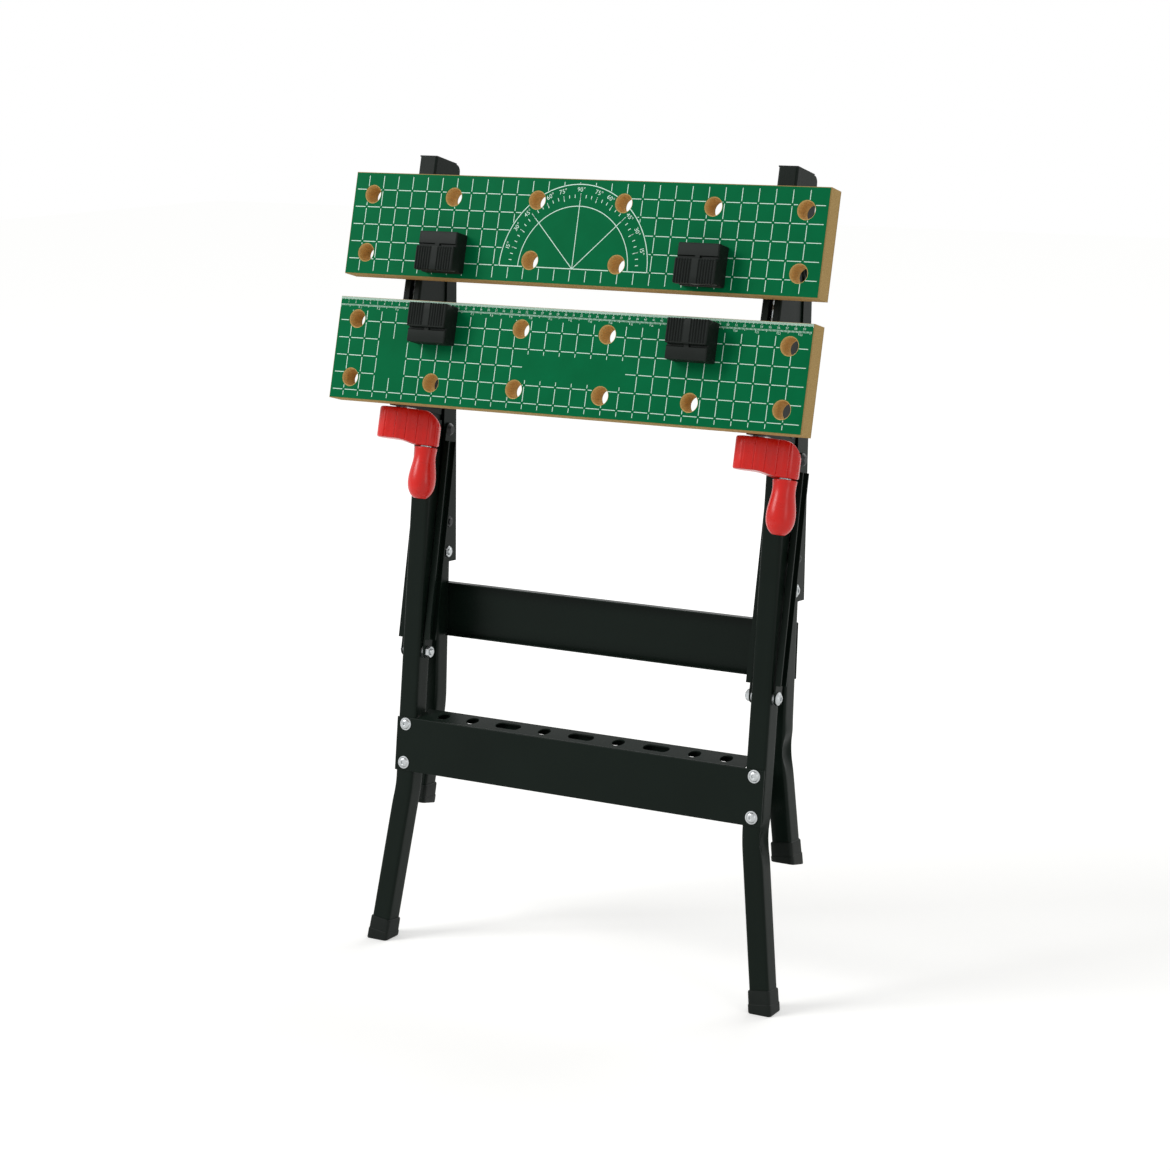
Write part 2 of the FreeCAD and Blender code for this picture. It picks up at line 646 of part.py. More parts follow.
def shelf_holes(body, top):
    """Round holes and slots for tools along the upper lip of the front beam."""
    middle = dim("shelf_depth") / 2 - dim("tube_width") / 2
    holes = sketch_on(body, "XY_Plane", -as_size(top))
    depth = (dim("shelf_rise") + dim("sheet_wall") * 2) * 2
    half_pitch = dim("shelf_pitch") / 2
    for x in (-dim("shelf_outer"), -(half_pitch * 3), -half_pitch, half_pitch,
              half_pitch * 3, dim("shelf_outer")):
        circle(holes, x, middle, dim("shelf_hole") / 2)
    cut(body, holes, depth)
    radius = dim("shelf_slot_width") / 2
    run = (dim("shelf_slot_length") - dim("shelf_slot_width")) / 2
    slots = sketch_on(body, "XY_Plane", -as_size(top))
    ends = sketch_on(body, "XY_Plane", -as_size(top))
    others = sketch_on(body, "XY_Plane", -as_size(top))
    for x in (-dim("shelf_pitch"), as_size(0.0), dim("shelf_pitch")):
        rectangle(slots, x - run, x + run, middle - radius, middle + radius)
        circle(ends, x - run, middle, radius)
        circle(others, x + run, middle, radius)
    for sketch in (slots, ends, others):
        cut(body, sketch, depth)


def shelf_edge(body, top):
    """The rear edge of the tool shelf, turned down."""
    inner = dim("rail_spacing") / 2 - dim("tube_width") / 2 - dim("beam_end_gap")
    front = -(dim("tube_width") / 2 + dim("sheet_wall"))
    rear = front + dim("shelf_depth")
    edge = sketch_on(body, "XY_Plane", dim("shelf_rise") - as_size(top) - dim("shelf_lip"))
    rectangle(edge, -inner, inner, rear - dim("sheet_wall"), rear)
    feature(body, "Pad", edge, dim("shelf_lip") - dim("sheet_wall") / 2)


shelf = beam("tool_shelf_beam", "legs", dim("front_beam_top"), -1, dim("shelf_depth"),
             dim("beam_lip"), dim("shelf_rise"))
shelf_edge(shelf, dim("front_beam_top"))
shelf_holes(shelf, dim("front_beam_top"))
beam("rear_cross_beam", "rear", dim("rear_beam_top"), 1, dim("beam_lip"), dim("beam_lip"))

# ----------------------------------------------------------------- the feet

def foot_cap(label, frame, side, bend, length, lean):
    """A moulded cap round the tube's end, cut off level with the floor."""
    flare = value("leg_flare")
    void_half = dim("tube_width") / 2 + dim("cap_gap")
    half = void_half + dim("cap_wall")
    down = length - bend
    knee = move(x=side * half_span, z=-bend)
    slant = FreeCAD.Placement(V(), FreeCAD.Rotation(V(0, 1, 0), -flare * side))
    sole = -down / math.cos(math.radians(flare))
    outer = primitive("Box", label + "_outer", Length=half * 2, Width=half * 2,
                      Height=dim("cap_height") + 10.0)
    outer.Placement = knee * slant * move(-half.value, -half.value, sole - 10.0)
    void = primitive("Box", label + "_void", Length=void_half * 2, Width=void_half * 2,
                     Height=dim("cap_height") + 10.0)
    void.Placement = knee * slant * move(-void_half.value, -void_half.value,
                                         sole + value("cap_floor"))
    above = primitive("Box", label + "_above", Length=200.0, Width=200.0, Height=200.0)
    level = FreeCAD.Placement(V(0, 0, -length), turn_x(lean))
    above.Placement = level * move(side * half_span - 100.0, -100.0, 0.0)
    hollow = boolean("Cut", label + "_cut", [outer, void])
    deliver(boolean("Common", label, [hollow, above]), label, frame)


for name, side in SIDES:
    foot_cap("front_foot_" + name, "legs", side, value("front_bend"),
             value("front_leg_length"), front_lean)
    foot_cap("rear_foot_" + name, "rear", side, value("rear_bend"),
             value("rear_leg_length"), -rear_spread)

# ----------------------------------------------------------------- the vice

screw_level = web - dim("screw_down")


def lead_screw(label, side):
    """A screw with a thrust collar; drawn along y from the crank to the rear plate."""
    body = new_body(label)
    profile = sketch_on(body, "XY_Plane")
    core, radius, collar = dim("screw_core"), dim("screw_radius"), dim("collar_radius")
    front = -(total_depth + dim("crank_gap") + dim("crank_height") - 6.0)
    behind = -(total_depth - dim("plate_thick") - dim("slide_gap"))
    thread = behind + dim("collar_length")
    tail = dim("rear_plate_back") - dim("slide_gap")
    end = dim("rear_plate_back") + dim("plate_thick")
    seat = -(total_depth + dim("slide_gap"))
    stop = seat - dim("thrust_collar")
    outline(profile, [(0.0, front), (radius, front), (radius, stop), (collar, stop),
                      (collar, seat), (radius, seat), (radius, behind), (collar, behind),
                      (collar, thread), (radius, thread), (radius, tail), (core, tail),
                      (core, end), (0.0, end)])
    revolve(body, profile)
    deliver(body, label, "top", move(x=side * half_span, z=screw_level.value))


def end_plate(label, side, rear, hole):
    """A plate across the inside of the rail that carries one end of the screw."""
    body = new_body(label)
    half = rail_width / 2 - dim("sheet_wall")
    plan = sketch_on(body, "XZ_Plane")
    roof = web - dim("sheet_wall")
    rectangle(plan, -half, half, roof - dim("plate_height"), roof)
    feature(body, "Pad", plan, dim("plate_thick"), symmetric=True)
    holes = sketch_on(body, "XZ_Plane")
    circle(holes, 0.0, screw_level, hole)
    cut(body, holes)
    deliver(body, label, "top", move(x=side * half_span, y=rear - value("plate_thick") / 2))


def travelling_nut(label, side):
    """A nut that slides in the channel, with a neck up through the slot."""
    body = new_body(label)
    half = dim("nut_width") / 2
    profile = sketch_on(body, "XZ_Plane")
    low = screw_level - dim("nut_height") / 2
    high = screw_level + dim("nut_height") / 2
    rectangle(profile, -half, half, low, high)
    feature(body, "Pad", profile, dim("nut_length"), symmetric=True)
    neck = sketch_on(body, "XZ_Plane")
    top = web + dim("slide_gap")
    rectangle(neck, -(dim("neck_width") / 2), dim("neck_width") / 2, screw_level, top)
    feature(body, "Pad", neck, dim("neck_length"), symmetric=True)
    bore = sketch_on(body, "XZ_Plane")
    circle(bore, 0.0, screw_level, dim("screw_radius") + dim("bolt_fit"))
    cut(body, bore)
    deliver(body, label, "top", move(x=side * half_span, y=-value("nut_back")))


def jaw_block(label, side, centre, gap):
    """A saddle between a jaw and a rail: a wide plate on a narrow pedestal."""
    body = new_body(label)
    under = -dim("jaw_thick")
    profile = sketch_on(body, "XZ_Plane")
    wide, narrow = dim("block_width") / 2, rail_width / 2
    step = under - dim("block_plate")
    outline(profile, [(-wide, under), (wide, under), (wide, step), (narrow, step),
                      (narrow, web + gap), (-narrow, web + gap), (-narrow, step), (-wide, step)])
    feature(body, "Pad", profile, dim("block_length"), symmetric=True)
    holes = sketch_on(body, "XY_Plane", under)
    inset_x = wide - dim("block_screw_inset")
    inset_y = dim("block_length") / 2 - dim("block_screw_inset")
    for x in (-inset_x, inset_x):
        for y in (-inset_y, inset_y):
            circle(holes, x, y, dim("wood_screw_radius") + dim("bolt_fit"))
    cut(body, holes, dim("block_plate") * 2 + 2.0)
    if as_size(gap).value == 0.0:
        bores = sketch_on(body, "XY_Plane", web)
        for step in (-0.5, 0.5):
            circle(bores, 0.0, dim("block_bolt_pitch") * step,
                   dim("block_bolt_radius") + dim("bolt_fit"))
        cut(body, bores, dim("block_bolt_length") * 2)
    deliver(body, label, "top", move(x=side * half_span, y=centre.value))


for name, side in SIDES:
    lead_screw("lead_screw_" + name, side)
    end_plate("thrust_plate_" + name, side, -total_depth.value + value("plate_thick"),
              dim("screw_radius") + dim("bolt_fit"))
    end_plate("tail_plate_" + name, side, value("rear_plate_back") + value("plate_thick"),
              dim("screw_core") + dim("bolt_fit"))
    travelling_nut("travelling_nut_" + name, side)
    jaw_block("rear_jaw_block_" + name, side, rear_centre, dim("slide_gap"))
    jaw_block("front_jaw_block_" + name, side, front_centre, 0.0)

# --------------------------------------------------------- cranks and knobs

def polar(distance, degrees):
    angle = math.radians(degrees)
    return distance * math.cos(angle), distance * math.sin(angle)


def knob_seat():
    return value("crank_height") + value("crank_drop")


def crank(label, side):
    """A thick bent arm: the hub on the screw, the knob lobe one way, a thumb lobe the other."""
    height, hub, end = dim("crank_height"), dim("crank_hub"), dim("crank_end")
    lobes = ((value("crank_throw"), value("crank_angle")),
             (value("crank_tail"), value("crank_tail_angle")))
    pieces = [primitive("Cylinder", label + "_hub", Radius=hub, Height=height)]
    for distance, degrees in lobes:
        x, y = polar(distance, degrees)
        tall = height + dim("crank_drop") if degrees == value("crank_angle") else height
        lobe = primitive("Cylinder", label + "_lobe", Radius=end, Height=tall, local=move(x, y))
        web_bar = primitive("Box", label + "_bar", Length=distance, Width=end * 2, Height=height)
        turn = FreeCAD.Placement(V(), FreeCAD.Rotation(V(0, 0, 1), degrees))
        web_bar.Placement = turn * move(y=-end.value)
        pieces += [lobe, web_bar]
    arm = boolean("MultiFuse", label + "_arm", pieces)
    x, y = polar(*lobes[0])
    bore = primitive("Cylinder", label + "_bore", Height=height,
                     Radius=dim("screw_radius"), local=move(z=-6.0))
    pin_hole = primitive("Cylinder", label + "_pin_hole", Radius=dim("pin_radius"),
                         Height=20.0, local=move(x, y, knob_seat() - 14.0))
    bores = boolean("MultiFuse", label + "_bores", [bore, pin_hole])
    made = boolean("Cut", label, [arm, bores])
    place = crank_place(side)
    deliver(made, label, "top", place)


def crank_place(side):
    """Crank frame: z runs forwards along the screw, x along the jaws, y up from the rail."""
    at = V(side * half_span, -total_depth.value - value("crank_gap"), screw_level.value)
    return FreeCAD.Placement(at, FreeCAD.Rotation(V(1, 0, 0), V(0, 0, 1), V(0, -1, 0), "XYZ"))


def knob(label, side):
    """A pear-shaped grip turned about the pin."""
    body = new_body(label)
    profile = sketch_on(body, "XZ_Plane")
    bore, neck, belly = dim("pin_radius") + dim("bolt_fit"), dim("knob_neck"), dim("knob_belly")
    length = dim("knob_length")
    head = dim("pin_head") + 0.5
    outline(profile, [(bore, 0.0), (neck - 1.0, 0.0), (neck, 1.5), (neck - 0.8, length * 0.17),
                      (neck + 0.3, length * 0.37), (belly - 0.7, length * 0.55),
                      (belly, length * 0.7), (belly - 1.3, length * 0.82),
                      (belly - 4.5, length * 0.92), (belly - 8.0, length - 0.6),
                      (head, length), (head, length - 6.0), (bore, length - 6.0)])
    revolve(body, profile)
    x, y = polar(value("crank_throw"), value("crank_angle"))
    start = knob_seat() + value("knob_gap")
    deliver(body, label, "top", crank_place(side) * move(x, y, start))


def knob_pin(label, side):
    """A shouldered pin screwed into the crank; its head keeps the knob on."""
    x, y = polar(value("crank_throw"), value("crank_angle"))
    start = knob_seat() - 14.0
    shank = primitive("Cylinder", label + "_shank", Radius=dim("pin_radius"),
                      Height=dim("knob_length") + dim("knob_gap") + 9.0)
    ring = primitive("Cylinder", label + "_ring", Radius=dim("pin_radius") + 3.0,
                     Height=dim("knob_gap") - 0.4, local=move(z=14.0))
    head = primitive("Cylinder", label + "_head", Radius=dim("pin_head"), Height=3.0,
                     local=move(z=14.0 + value("knob_gap") + value("knob_length") - 5.2))
    made = boolean("MultiFuse", label, [shank, ring, head])
    deliver(made, label, "top", crank_place(side) * move(x, y, start))


for name, side in SIDES:
    crank("crank_arm_" + name, side)
    knob("knob_" + name, side)
    knob_pin("knob_pin_" + name, side)

# --------------------------------------------------------------- bench dogs

def bench_dog(label, x, y, turn):
    """A block with a ribbed gripping face and a low tail, on a peg."""
    body = new_body(label)
    low = dim("seat_gap")
    reach_front, face = dim("dog_reach"), dim("dog_face")
    profile = sketch_on(body, "YZ_Plane")
    groove = dim("dog_groove")
    middle = low + (dim("dog_height") - low) / 2
    outline(profile, [(-reach_front, low), (dim("dog_tail"), low),
                      (dim("dog_tail"), dim("dog_step")), (face - reach_front + 2.0, dim("dog_step")),
                      (face - reach_front, dim("dog_height")), (-reach_front, dim("dog_height")),
                      (-reach_front, middle + groove), (groove - reach_front, middle),
                      (-reach_front, middle - groove)])
    block = feature(body, "Pad", profile, dim("dog_length"), symmetric=True)
    ribs = sketch_on(body, "XY_Plane", dim("dog_height"))
    depth = dim("dog_rib_depth")
    first = -(dim("dog_rib_pitch") * 4.5)
    outline(ribs, [(first - depth, -reach_front - 0.01), (first, depth - reach_front),
                   (first + depth, -reach_front - 0.01)])
    pocket = cut(body, ribs, dim("dog_height") * 0.48, symmetric=False)
    repeat(body, [pocket], ribs, "H_Axis", dim("dog_rib_pitch") * 9, 10)
    peg = sketch_on(body, "XY_Plane", low)
    circle(peg, 0.0, 0.0, dim("dog_hole_diameter") / 2 - dim("dog_peg_gap"))
    feature(body, "Pad", peg, dim("dog_peg_length"), reverse=True)
    turned = FreeCAD.Rotation(V(0, 0, 1), turn)
    deliver(body, label, "top", FreeCAD.Placement(V(x, y, 0), turned))


row = value("dog_row_pitch") / 2
column = value("dog_hole_pitch") * 1.5
for name, side in SIDES:
    bench_dog("dog_rear_" + name, side * column, rear_centre.value - row, 0)
    bench_dog("dog_front_" + name, side * column, front_centre.value + row, 180)

# ---------------------------------------------------------------- fasteners

def across(side, y, z, half_grip):
    """Placement of a bolt that crosses one side of the frame from its outer face."""
    return along(V(-side, 0, 0), side * (half_span + half_grip), y, z)


rail_grip = rail_width.value / 2
plate_grip = value("tube_width") / 2 + value("sheet_wall")
strut_grip = value("tube_width") / 2 + value("strut_washer") + value("strut_wall")
leg_grip = value("tube_width") / 2
group("front_pivot_bolts", "top", [
    bolt("front_pivot_" + name, across(side, front_pivot_in_top.y, front_pivot_in_top.z,
                                       rail_grip), rail_width)
    for name, side in SIDES])
group("rear_pivot_bolts", "top", [
    bolt("rear_pivot_" + name, across(side, rear_pivot_in_top.y, rear_pivot_in_top.z,
                                      plate_grip + 0.2),
         dim("tube_width") + (dim("sheet_wall") + 0.2) * 2)
    for name, side in SIDES])
group("strut_lower_bolts", "legs", [
    bolt("strut_lower_" + name, across(side, 0, -value("strut_lower"), strut_grip + 0.2),
         dim("tube_width") + (dim("strut_washer") + dim("strut_wall") + 0.2) * 2)
    for name, side in SIDES])
group("rear_leg_bolts", "rear", [
    bolt("rear_leg_" + name, across(side, 0, -value(level), plate_grip),
         dim("tube_width") + dim("sheet_wall") * 2)
    for name, side in SIDES for level in ("channel_bolt_low", "channel_bolt_high")])


def beam_bolts(label, frame, top, face):
    bolts = []
    start = (value("tube_width") / 2 + value("sheet_wall")) * face
    for name, side in SIDES:
        for drop in (0.0, value("beam_bolt_pitch")):
            level = -(top + value("beam_bolt_top") + drop)
            bolts.append(bolt(label + "_" + name, along(V(0, -face, 0), side * half_span,
                                                        start, level),
                              dim("tube_width") + dim("sheet_wall")))
    group(label, frame, bolts)


beam_bolts("tool_shelf_bolts", "legs", value("front_beam_top"), -1)
beam_bolts("cross_beam_bolts", "rear", value("rear_beam_top"), 1)


def washer(name, x, y, z):
    ring = primitive("Cylinder", name + "_ring", Radius=dim("bolt_head"),
                     Height=dim("strut_washer") - 0.2)
    bore = primitive("Cylinder", name + "_bore", Radius=hole_radius,
                     Height=dim("strut_washer"))
    made = boolean("Cut", name, [ring, bore])
    made.Placement = along(V(1, 0, 0), x, y, z)
    return made


def strut_rivet(name, x, face):
    """A headed rivet in the upper strut eye that stops short of the rear leg's plate."""
    shank = primitive("Cylinder", name + "_shank", Radius=dim("bolt_radius"),
                      Height=dim("strut_wall"))
    head = primitive("Cone", name + "_cap", Radius1=dim("bolt_head"),
                     Radius2=dim("bolt_head") * 0.55, Height=dim("bolt_head_height"),
                     local=move(z=value("strut_wall")))
    made = boolean("MultiFuse", name, [shank, head])
    made.Placement = along(V(face, 0, 0), x, 0, reach)
    return made


washers = []
rivets = []
for name, side in SIDES:
    for face in (-1, 1):
        tube_face = value("tube_width") / 2
        start = side * half_span + face * tube_face + (0 if face > 0 else -2.1)
        washers.append(washer("strut_washer_" + name, start, 0, -value("strut_lower")))
        eye = side * half_span + face * (tube_face + value("strut_washer"))
        rivets.append(strut_rivet("strut_rivet_" + name, eye, face))
group("strut_washers", "legs", washers)
group("strut_rivets", "strut", rivets)


def block_screws(label, centre):
    """Wood screws up through the saddle plates into the underside of a jaw."""
    screws = []
    inset_x = value("block_width") / 2 - value("block_screw_inset")
    inset_y = value("block_length") / 2 - value("block_screw_inset")
    under = -value("jaw_thick") - value("block_plate")
    for name, side in SIDES:
        for x in (-inset_x, inset_x):
            for y in (-inset_y, inset_y):
                shank = primitive("Cylinder", label + "_shank", Radius=dim("wood_screw_radius"),
                                  Height=dim("wood_screw_length"))
                head = primitive("Cone", label + "_head", Radius1=dim("wood_screw_head") * 0.5,
                                 Radius2=dim("wood_screw_head"), Height=2.4, local=move(z=-2.4))
                screw = boolean("MultiFuse", label + "_screw", [shank, head])
                screw.Placement = move(side * half_span + x, centre + y, under)
                screws.append(screw)
    group(label, "top", screws)


block_screws("rear_jaw_screws", rear_centre.value)
block_screws("front_jaw_screws", front_centre.value)


def block_bolt(name, x, y):
    """A low-headed bolt from inside the rail up into the front jaw's block."""
    head_height = 2.0
    shank = primitive("Cylinder", name + "_shank", Radius=dim("block_bolt_radius"),
                      Height=dim("block_bolt_length") + dim("sheet_wall") - 1.0)
    head = primitive("Cylinder", name + "_head", Radius=dim("block_bolt_head"),
                     Height=head_height, local=move(z=-head_height))
    made = boolean("MultiFuse", name, [shank, head])
    made.Placement = move(x, y, web.value - value("sheet_wall"))
    return made


group("front_block_bolts", "top", [
    block_bolt("front_block_" + name, side * half_span,
               front_centre.value + step * value("block_bolt_pitch"))
    for name, side in SIDES for step in (-0.5, 0.5)])

# ----------------------------------------------------- place, check, export

def place_all(shift):
    rest = frames(shift)
    for made, _, frame, local in outputs:
        made.Placement = rest[frame] * local
    doc.recompute()


place_all(0.0)
low = min(made.Shape.BoundBox.YMin for made, _, _, _ in outputs)
high = max(made.Shape.BoundBox.YMax for made, _, _, _ in outputs)
middle_shift = -(low + high) / 2
place_all(middle_shift)

faults = [o.Name for o in doc.Objects if "Invalid" in o.State or "Error" in o.State]
for made, label, _, _ in outputs:
    shape = made.Shape
    if shape.isNull() or not shape.isValid() or shape.Volume <= 0:
        faults.append(label)
if faults:
    raise ValueError("objects that failed: " + ", ".join(faults))

os.makedirs("parts", exist_ok=True)
for made, label, _, _ in outputs:
    made.Shape.exportStep("parts/%s.step" % label)

rest = frames(middle_shift)
print("nodes", len(outputs))
print("front pivot", rest["legs"].Base, "rear pivot", rest["rear"].Base)
print("strut pivot", rest["strut"].Base, "strut length", reach)
print("spread of the rear legs in use", rear_spread, "height", pivot_height)
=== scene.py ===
import json
import math

import bmesh
import bpy
import numpy as np
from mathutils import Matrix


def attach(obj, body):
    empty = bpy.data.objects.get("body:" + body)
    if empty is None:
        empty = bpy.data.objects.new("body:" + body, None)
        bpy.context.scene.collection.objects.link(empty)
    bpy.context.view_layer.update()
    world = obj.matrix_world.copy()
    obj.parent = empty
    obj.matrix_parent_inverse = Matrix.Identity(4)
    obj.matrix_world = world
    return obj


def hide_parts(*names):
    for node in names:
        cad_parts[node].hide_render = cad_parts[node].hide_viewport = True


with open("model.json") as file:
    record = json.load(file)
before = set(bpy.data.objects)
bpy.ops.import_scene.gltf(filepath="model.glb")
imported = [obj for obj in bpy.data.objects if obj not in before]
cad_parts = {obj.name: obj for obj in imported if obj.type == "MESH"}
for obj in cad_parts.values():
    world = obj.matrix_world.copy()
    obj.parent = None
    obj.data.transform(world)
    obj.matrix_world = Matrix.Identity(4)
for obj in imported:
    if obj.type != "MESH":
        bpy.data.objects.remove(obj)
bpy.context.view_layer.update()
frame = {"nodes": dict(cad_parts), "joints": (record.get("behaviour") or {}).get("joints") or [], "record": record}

# ------------------------------------------------------------------ frames
# Pieces are worked out in millimetres in the frame of the part they belong to, as part.py
# draws them, and then placed.  The top is turned up about the front pivot, and the legs
# hang from their pivots.  In the top's frame the jaws' upper face is at z = 0 and their rear
# edge at y = 0, and the front is at negative y.

SIDES = (("left", -1), ("right", 1))
HALF_SPAN = 230.0                       # from the middle to a rail and its legs
FRONT_LEAN, REAR_LEAN, TOP_TURN = 7.0, 3.2, 75.6        # degrees, in the stored position
REAR_SPREAD = 9.1417                    # the rear legs' slope in use, which cuts their feet
FRONT_PIVOT, REAR_PIVOT = (-250.0, -104.0), (-75.0, -90.0)      # y and z in the top's frame
THRUST_PLATE, SCREW_LEVEL = -264.5, -45.6               # y and z of each screw's front end
ARM_TURN, ARM_THROW, ARM_TOP = math.radians(-28), 34.0, 41.5
TUBE_HALF, TUBE_CORNER, FOOT_FLARE = 12.0, 3.0, math.radians(7.5)
FRONT_BEAM_TOP, REAR_BEAM_TOP = 372.6, 389.4            # down from each leg's pivot
STRUT_BOLT, CHANNEL_BOLTS, CHANNEL_FACE = -293.4, (-316.0, -352.0), 13.5
REAR_HOLE_ROWS, FRONT_HOLE_ROWS = (-25.25, -92.75), (-169.75, -237.25)
DOG_COLUMN = 165.0

joints = {joint["name"]: joint for joint in frame["joints"]}
front_pivot = 1000 * np.array(joints["top_fold"]["pos_m"])
rear_pivot = 1000 * np.array(joints["rear_leg_fold"]["pos_m"])


def shifted(x=0.0, y=0.0, z=0.0):
    """A frame moved by x, y, z."""
    made = np.eye(4)
    made[:3, 3] = x, y, z
    return made


def turned_x(degrees):
    """A frame turned about X: y goes to (cos, sin) and z to (-sin, cos)."""
    made = np.eye(4)
    c, s = math.cos(math.radians(degrees)), math.sin(math.radians(degrees))
    made[1:3, 1:3] = (c, -s), (s, c)
    return made


def facing(direction, x, y, z):
    """A frame at x, y, z whose z axis is the direction, an axis of its parent."""
    w = np.array(direction, float)
    u = np.array((0.0, 0.0, 1.0)) if abs(w[2]) < 0.5 else np.array((1.0, 0.0, 0.0))
    made = shifted(x, y, z)
    made[:3, :3] = np.stack([u, np.cross(w, u), w], axis=1)
    return made


TOP = shifted(*front_pivot) @ turned_x(TOP_TURN) @ shifted(0, -FRONT_PIVOT[0], -FRONT_PIVOT[1])
FRONT_LEGS = shifted(*front_pivot) @ turned_x(-FRONT_LEAN)
REAR_LEGS = shifted(*rear_pivot) @ turned_x(-REAR_LEAN)


def crank_frame(side):
    """z runs forwards along the screw, x along the jaws, y up out of the rail."""
    return TOP @ shifted(side * HALF_SPAN, THRUST_PLATE, SCREW_LEVEL) @ turned_x(90)


# ----------------------------------------------------------------- meshes

def skin(points, wrap=True, caps=True):
    """Vertices and faces of a surface through a grid of points (rows, columns, 3): each cell
    is one face.  wrap joins the last column to the first; caps close the end rows."""
    rows, columns = points.shape[:2]
    index = np.arange(rows * columns).reshape(rows, columns)
    beside = np.roll(index, -1, axis=1)
    cells = np.stack([index[:-1], beside[:-1], beside[1:], index[1:]], axis=-1)
    faces = cells[:, :columns if wrap else columns - 1].reshape(-1, 4).tolist()
    if caps:
        faces += [index[0, ::-1].tolist(), index[-1].tolist()]
    return points.reshape(-1, 3), faces


def placed(points, place):
    """Points in a frame, taken to the object's own frame, still in millimetres."""
    return points @ place[:3, :3].T + place[:3, 3]


def piece(name, skins, body, finish, nodes=(), sharp=32.0, solid=True):
    """One object from skins of (points, faces, frame), in metres, with smooth shading that
    stops at edges sharper than the angle, and its normals turned outwards."""
    points, faces, count = [], [], 0
    for part_points, part_faces, place in skins:
        points.append(placed(part_points, place))
        faces += [[corner + count for corner in face] for face in part_faces]
        count += len(part_points)
    mesh = bpy.data.meshes.new(name)
    mesh.from_pydata((np.concatenate(points) * 0.001).tolist(), [], faces)
    if solid:
        shell = bmesh.new()
        shell.from_mesh(mesh)
        bmesh.ops.recalc_face_normals(shell, faces=shell.faces)
        shell.to_mesh(mesh)
        shell.free()
    mesh.shade_smooth()
    mesh.set_sharp_from_angle(angle=math.radians(sharp))
    mesh.materials.append(finish)
    made = bpy.data.objects.new(name, mesh)
    bpy.context.scene.collection.objects.link(made)
    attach(made, body)
    if nodes:
        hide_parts(*nodes)


def turned_profile(profile, steps=48):
    """A profile of (radius, z) pairs carried round the z axis: x = r cos a, y = r sin a."""
    profile = np.array(profile, float)
    angle = np.linspace(0, 2 * np.pi, steps, endpoint=False)
    ring = np.stack([np.cos(angle), np.sin(angle), np.zeros(steps)], axis=-1)
    return profile[:, None, :1] * ring + profile[:, None, 1:] * np.array((0, 0, 1.0))


def rounded_square(half, corner, arc=6, side=7):
    """A square outline with round corners: a quarter circle and a straight, four times."""
    a = np.linspace(0, np.pi / 2, arc)
    flat = half - corner
    bend = flat + corner * np.stack([np.cos(a), np.sin(a)], axis=-1)
    run = np.linspace((flat, half), (-flat, half), side)[1:-1]
    quarter = np.concatenate([bend, run])
    turn = np.array(((0.0, 1.0), (-1.0, 0.0)))
    return np.concatenate([quarter @ np.linalg.matrix_power(turn, n) for n in range(4)])


# --------------------------------------------------------------- materials

def srgb(code):
    """A hex colour as linear red, green, blue and alpha."""
    value = np.array([int(code[i:i + 2], 16) for i in (1, 3, 5)]) / 255
    linear = np.where(value <= 0.04045, value / 12.92, ((value + 0.055) / 1.055) ** 2.4)
    return (*linear.tolist(), 1.0)


def add(tree, kind, inputs, **settings):
    """Add a node, set its properties, and set or link each of its inputs."""
    node = tree.nodes.new(kind)
    for key, value in settings.items():
        setattr(node, key, value)
    for key, value in inputs.items():
        if isinstance(value, bpy.types.NodeSocket):
            tree.links.new(value, node.inputs[key])
        else:
            node.inputs[key].default_value = value
    return node


def finish(name, colour, roughness, metallic=0.0, ior=1.5, specular=0.5):
    """A material with its shader's plain values set, with its tree, shader and coordinates."""
    made = bpy.data.materials.new(name)
    made.use_nodes = True
    tree = made.node_tree
    shader = tree.nodes["Principled BSDF"]
    shader.inputs["Base Color"].default_value = srgb(colour)
    shader.inputs["Roughness"].default_value = roughness
    shader.inputs["Metallic"].default_value = metallic
    shader.inputs["IOR"].default_value = ior
    shader.inputs["Specular IOR Level"].default_value = specular
    where = add(tree, "ShaderNodeTexCoord", {}).outputs["Object"]
    return made, tree, shader, where


def powder_coat():
    """Mild steel sheet and tube, powder coated black.  The baked powder leaves a fine orange
    peel about 2 mm across, drawn a little coarse, and a soft, slightly uneven gloss."""
    made, tree, shader, where = finish("powder_coated_steel", "#0f1713", 0.38, specular=0.09)
    peel = add(tree, "ShaderNodeTexNoise", {"Vector": where, "Scale": 420.0, "Detail": 2.0})
    drift = add(tree, "ShaderNodeTexNoise", {"Vector": where, "Scale": 9.0, "Detail": 3.0})
    tone = add(tree, "ShaderNodeMix", {0: drift.outputs[0], 6: srgb("#0a130e"),
                                       7: srgb("#121c17")}, data_type="RGBA")
    gloss = add(tree, "ShaderNodeMapRange", {0: drift.outputs[0], 1: 0.3, 2: 0.7, 3: 0.30,
                                             4: 0.42})
    bump = add(tree, "ShaderNodeBump", {"Height": peel.outputs[0], "Strength": 0.22,
                                        "Distance": 0.0003})
    tree.links.new(tone.outputs[2], shader.inputs["Base Color"])
    tree.links.new(gloss.outputs[0], shader.inputs["Roughness"])
    tree.links.new(bump.outputs[0], shader.inputs["Normal"])
    return made


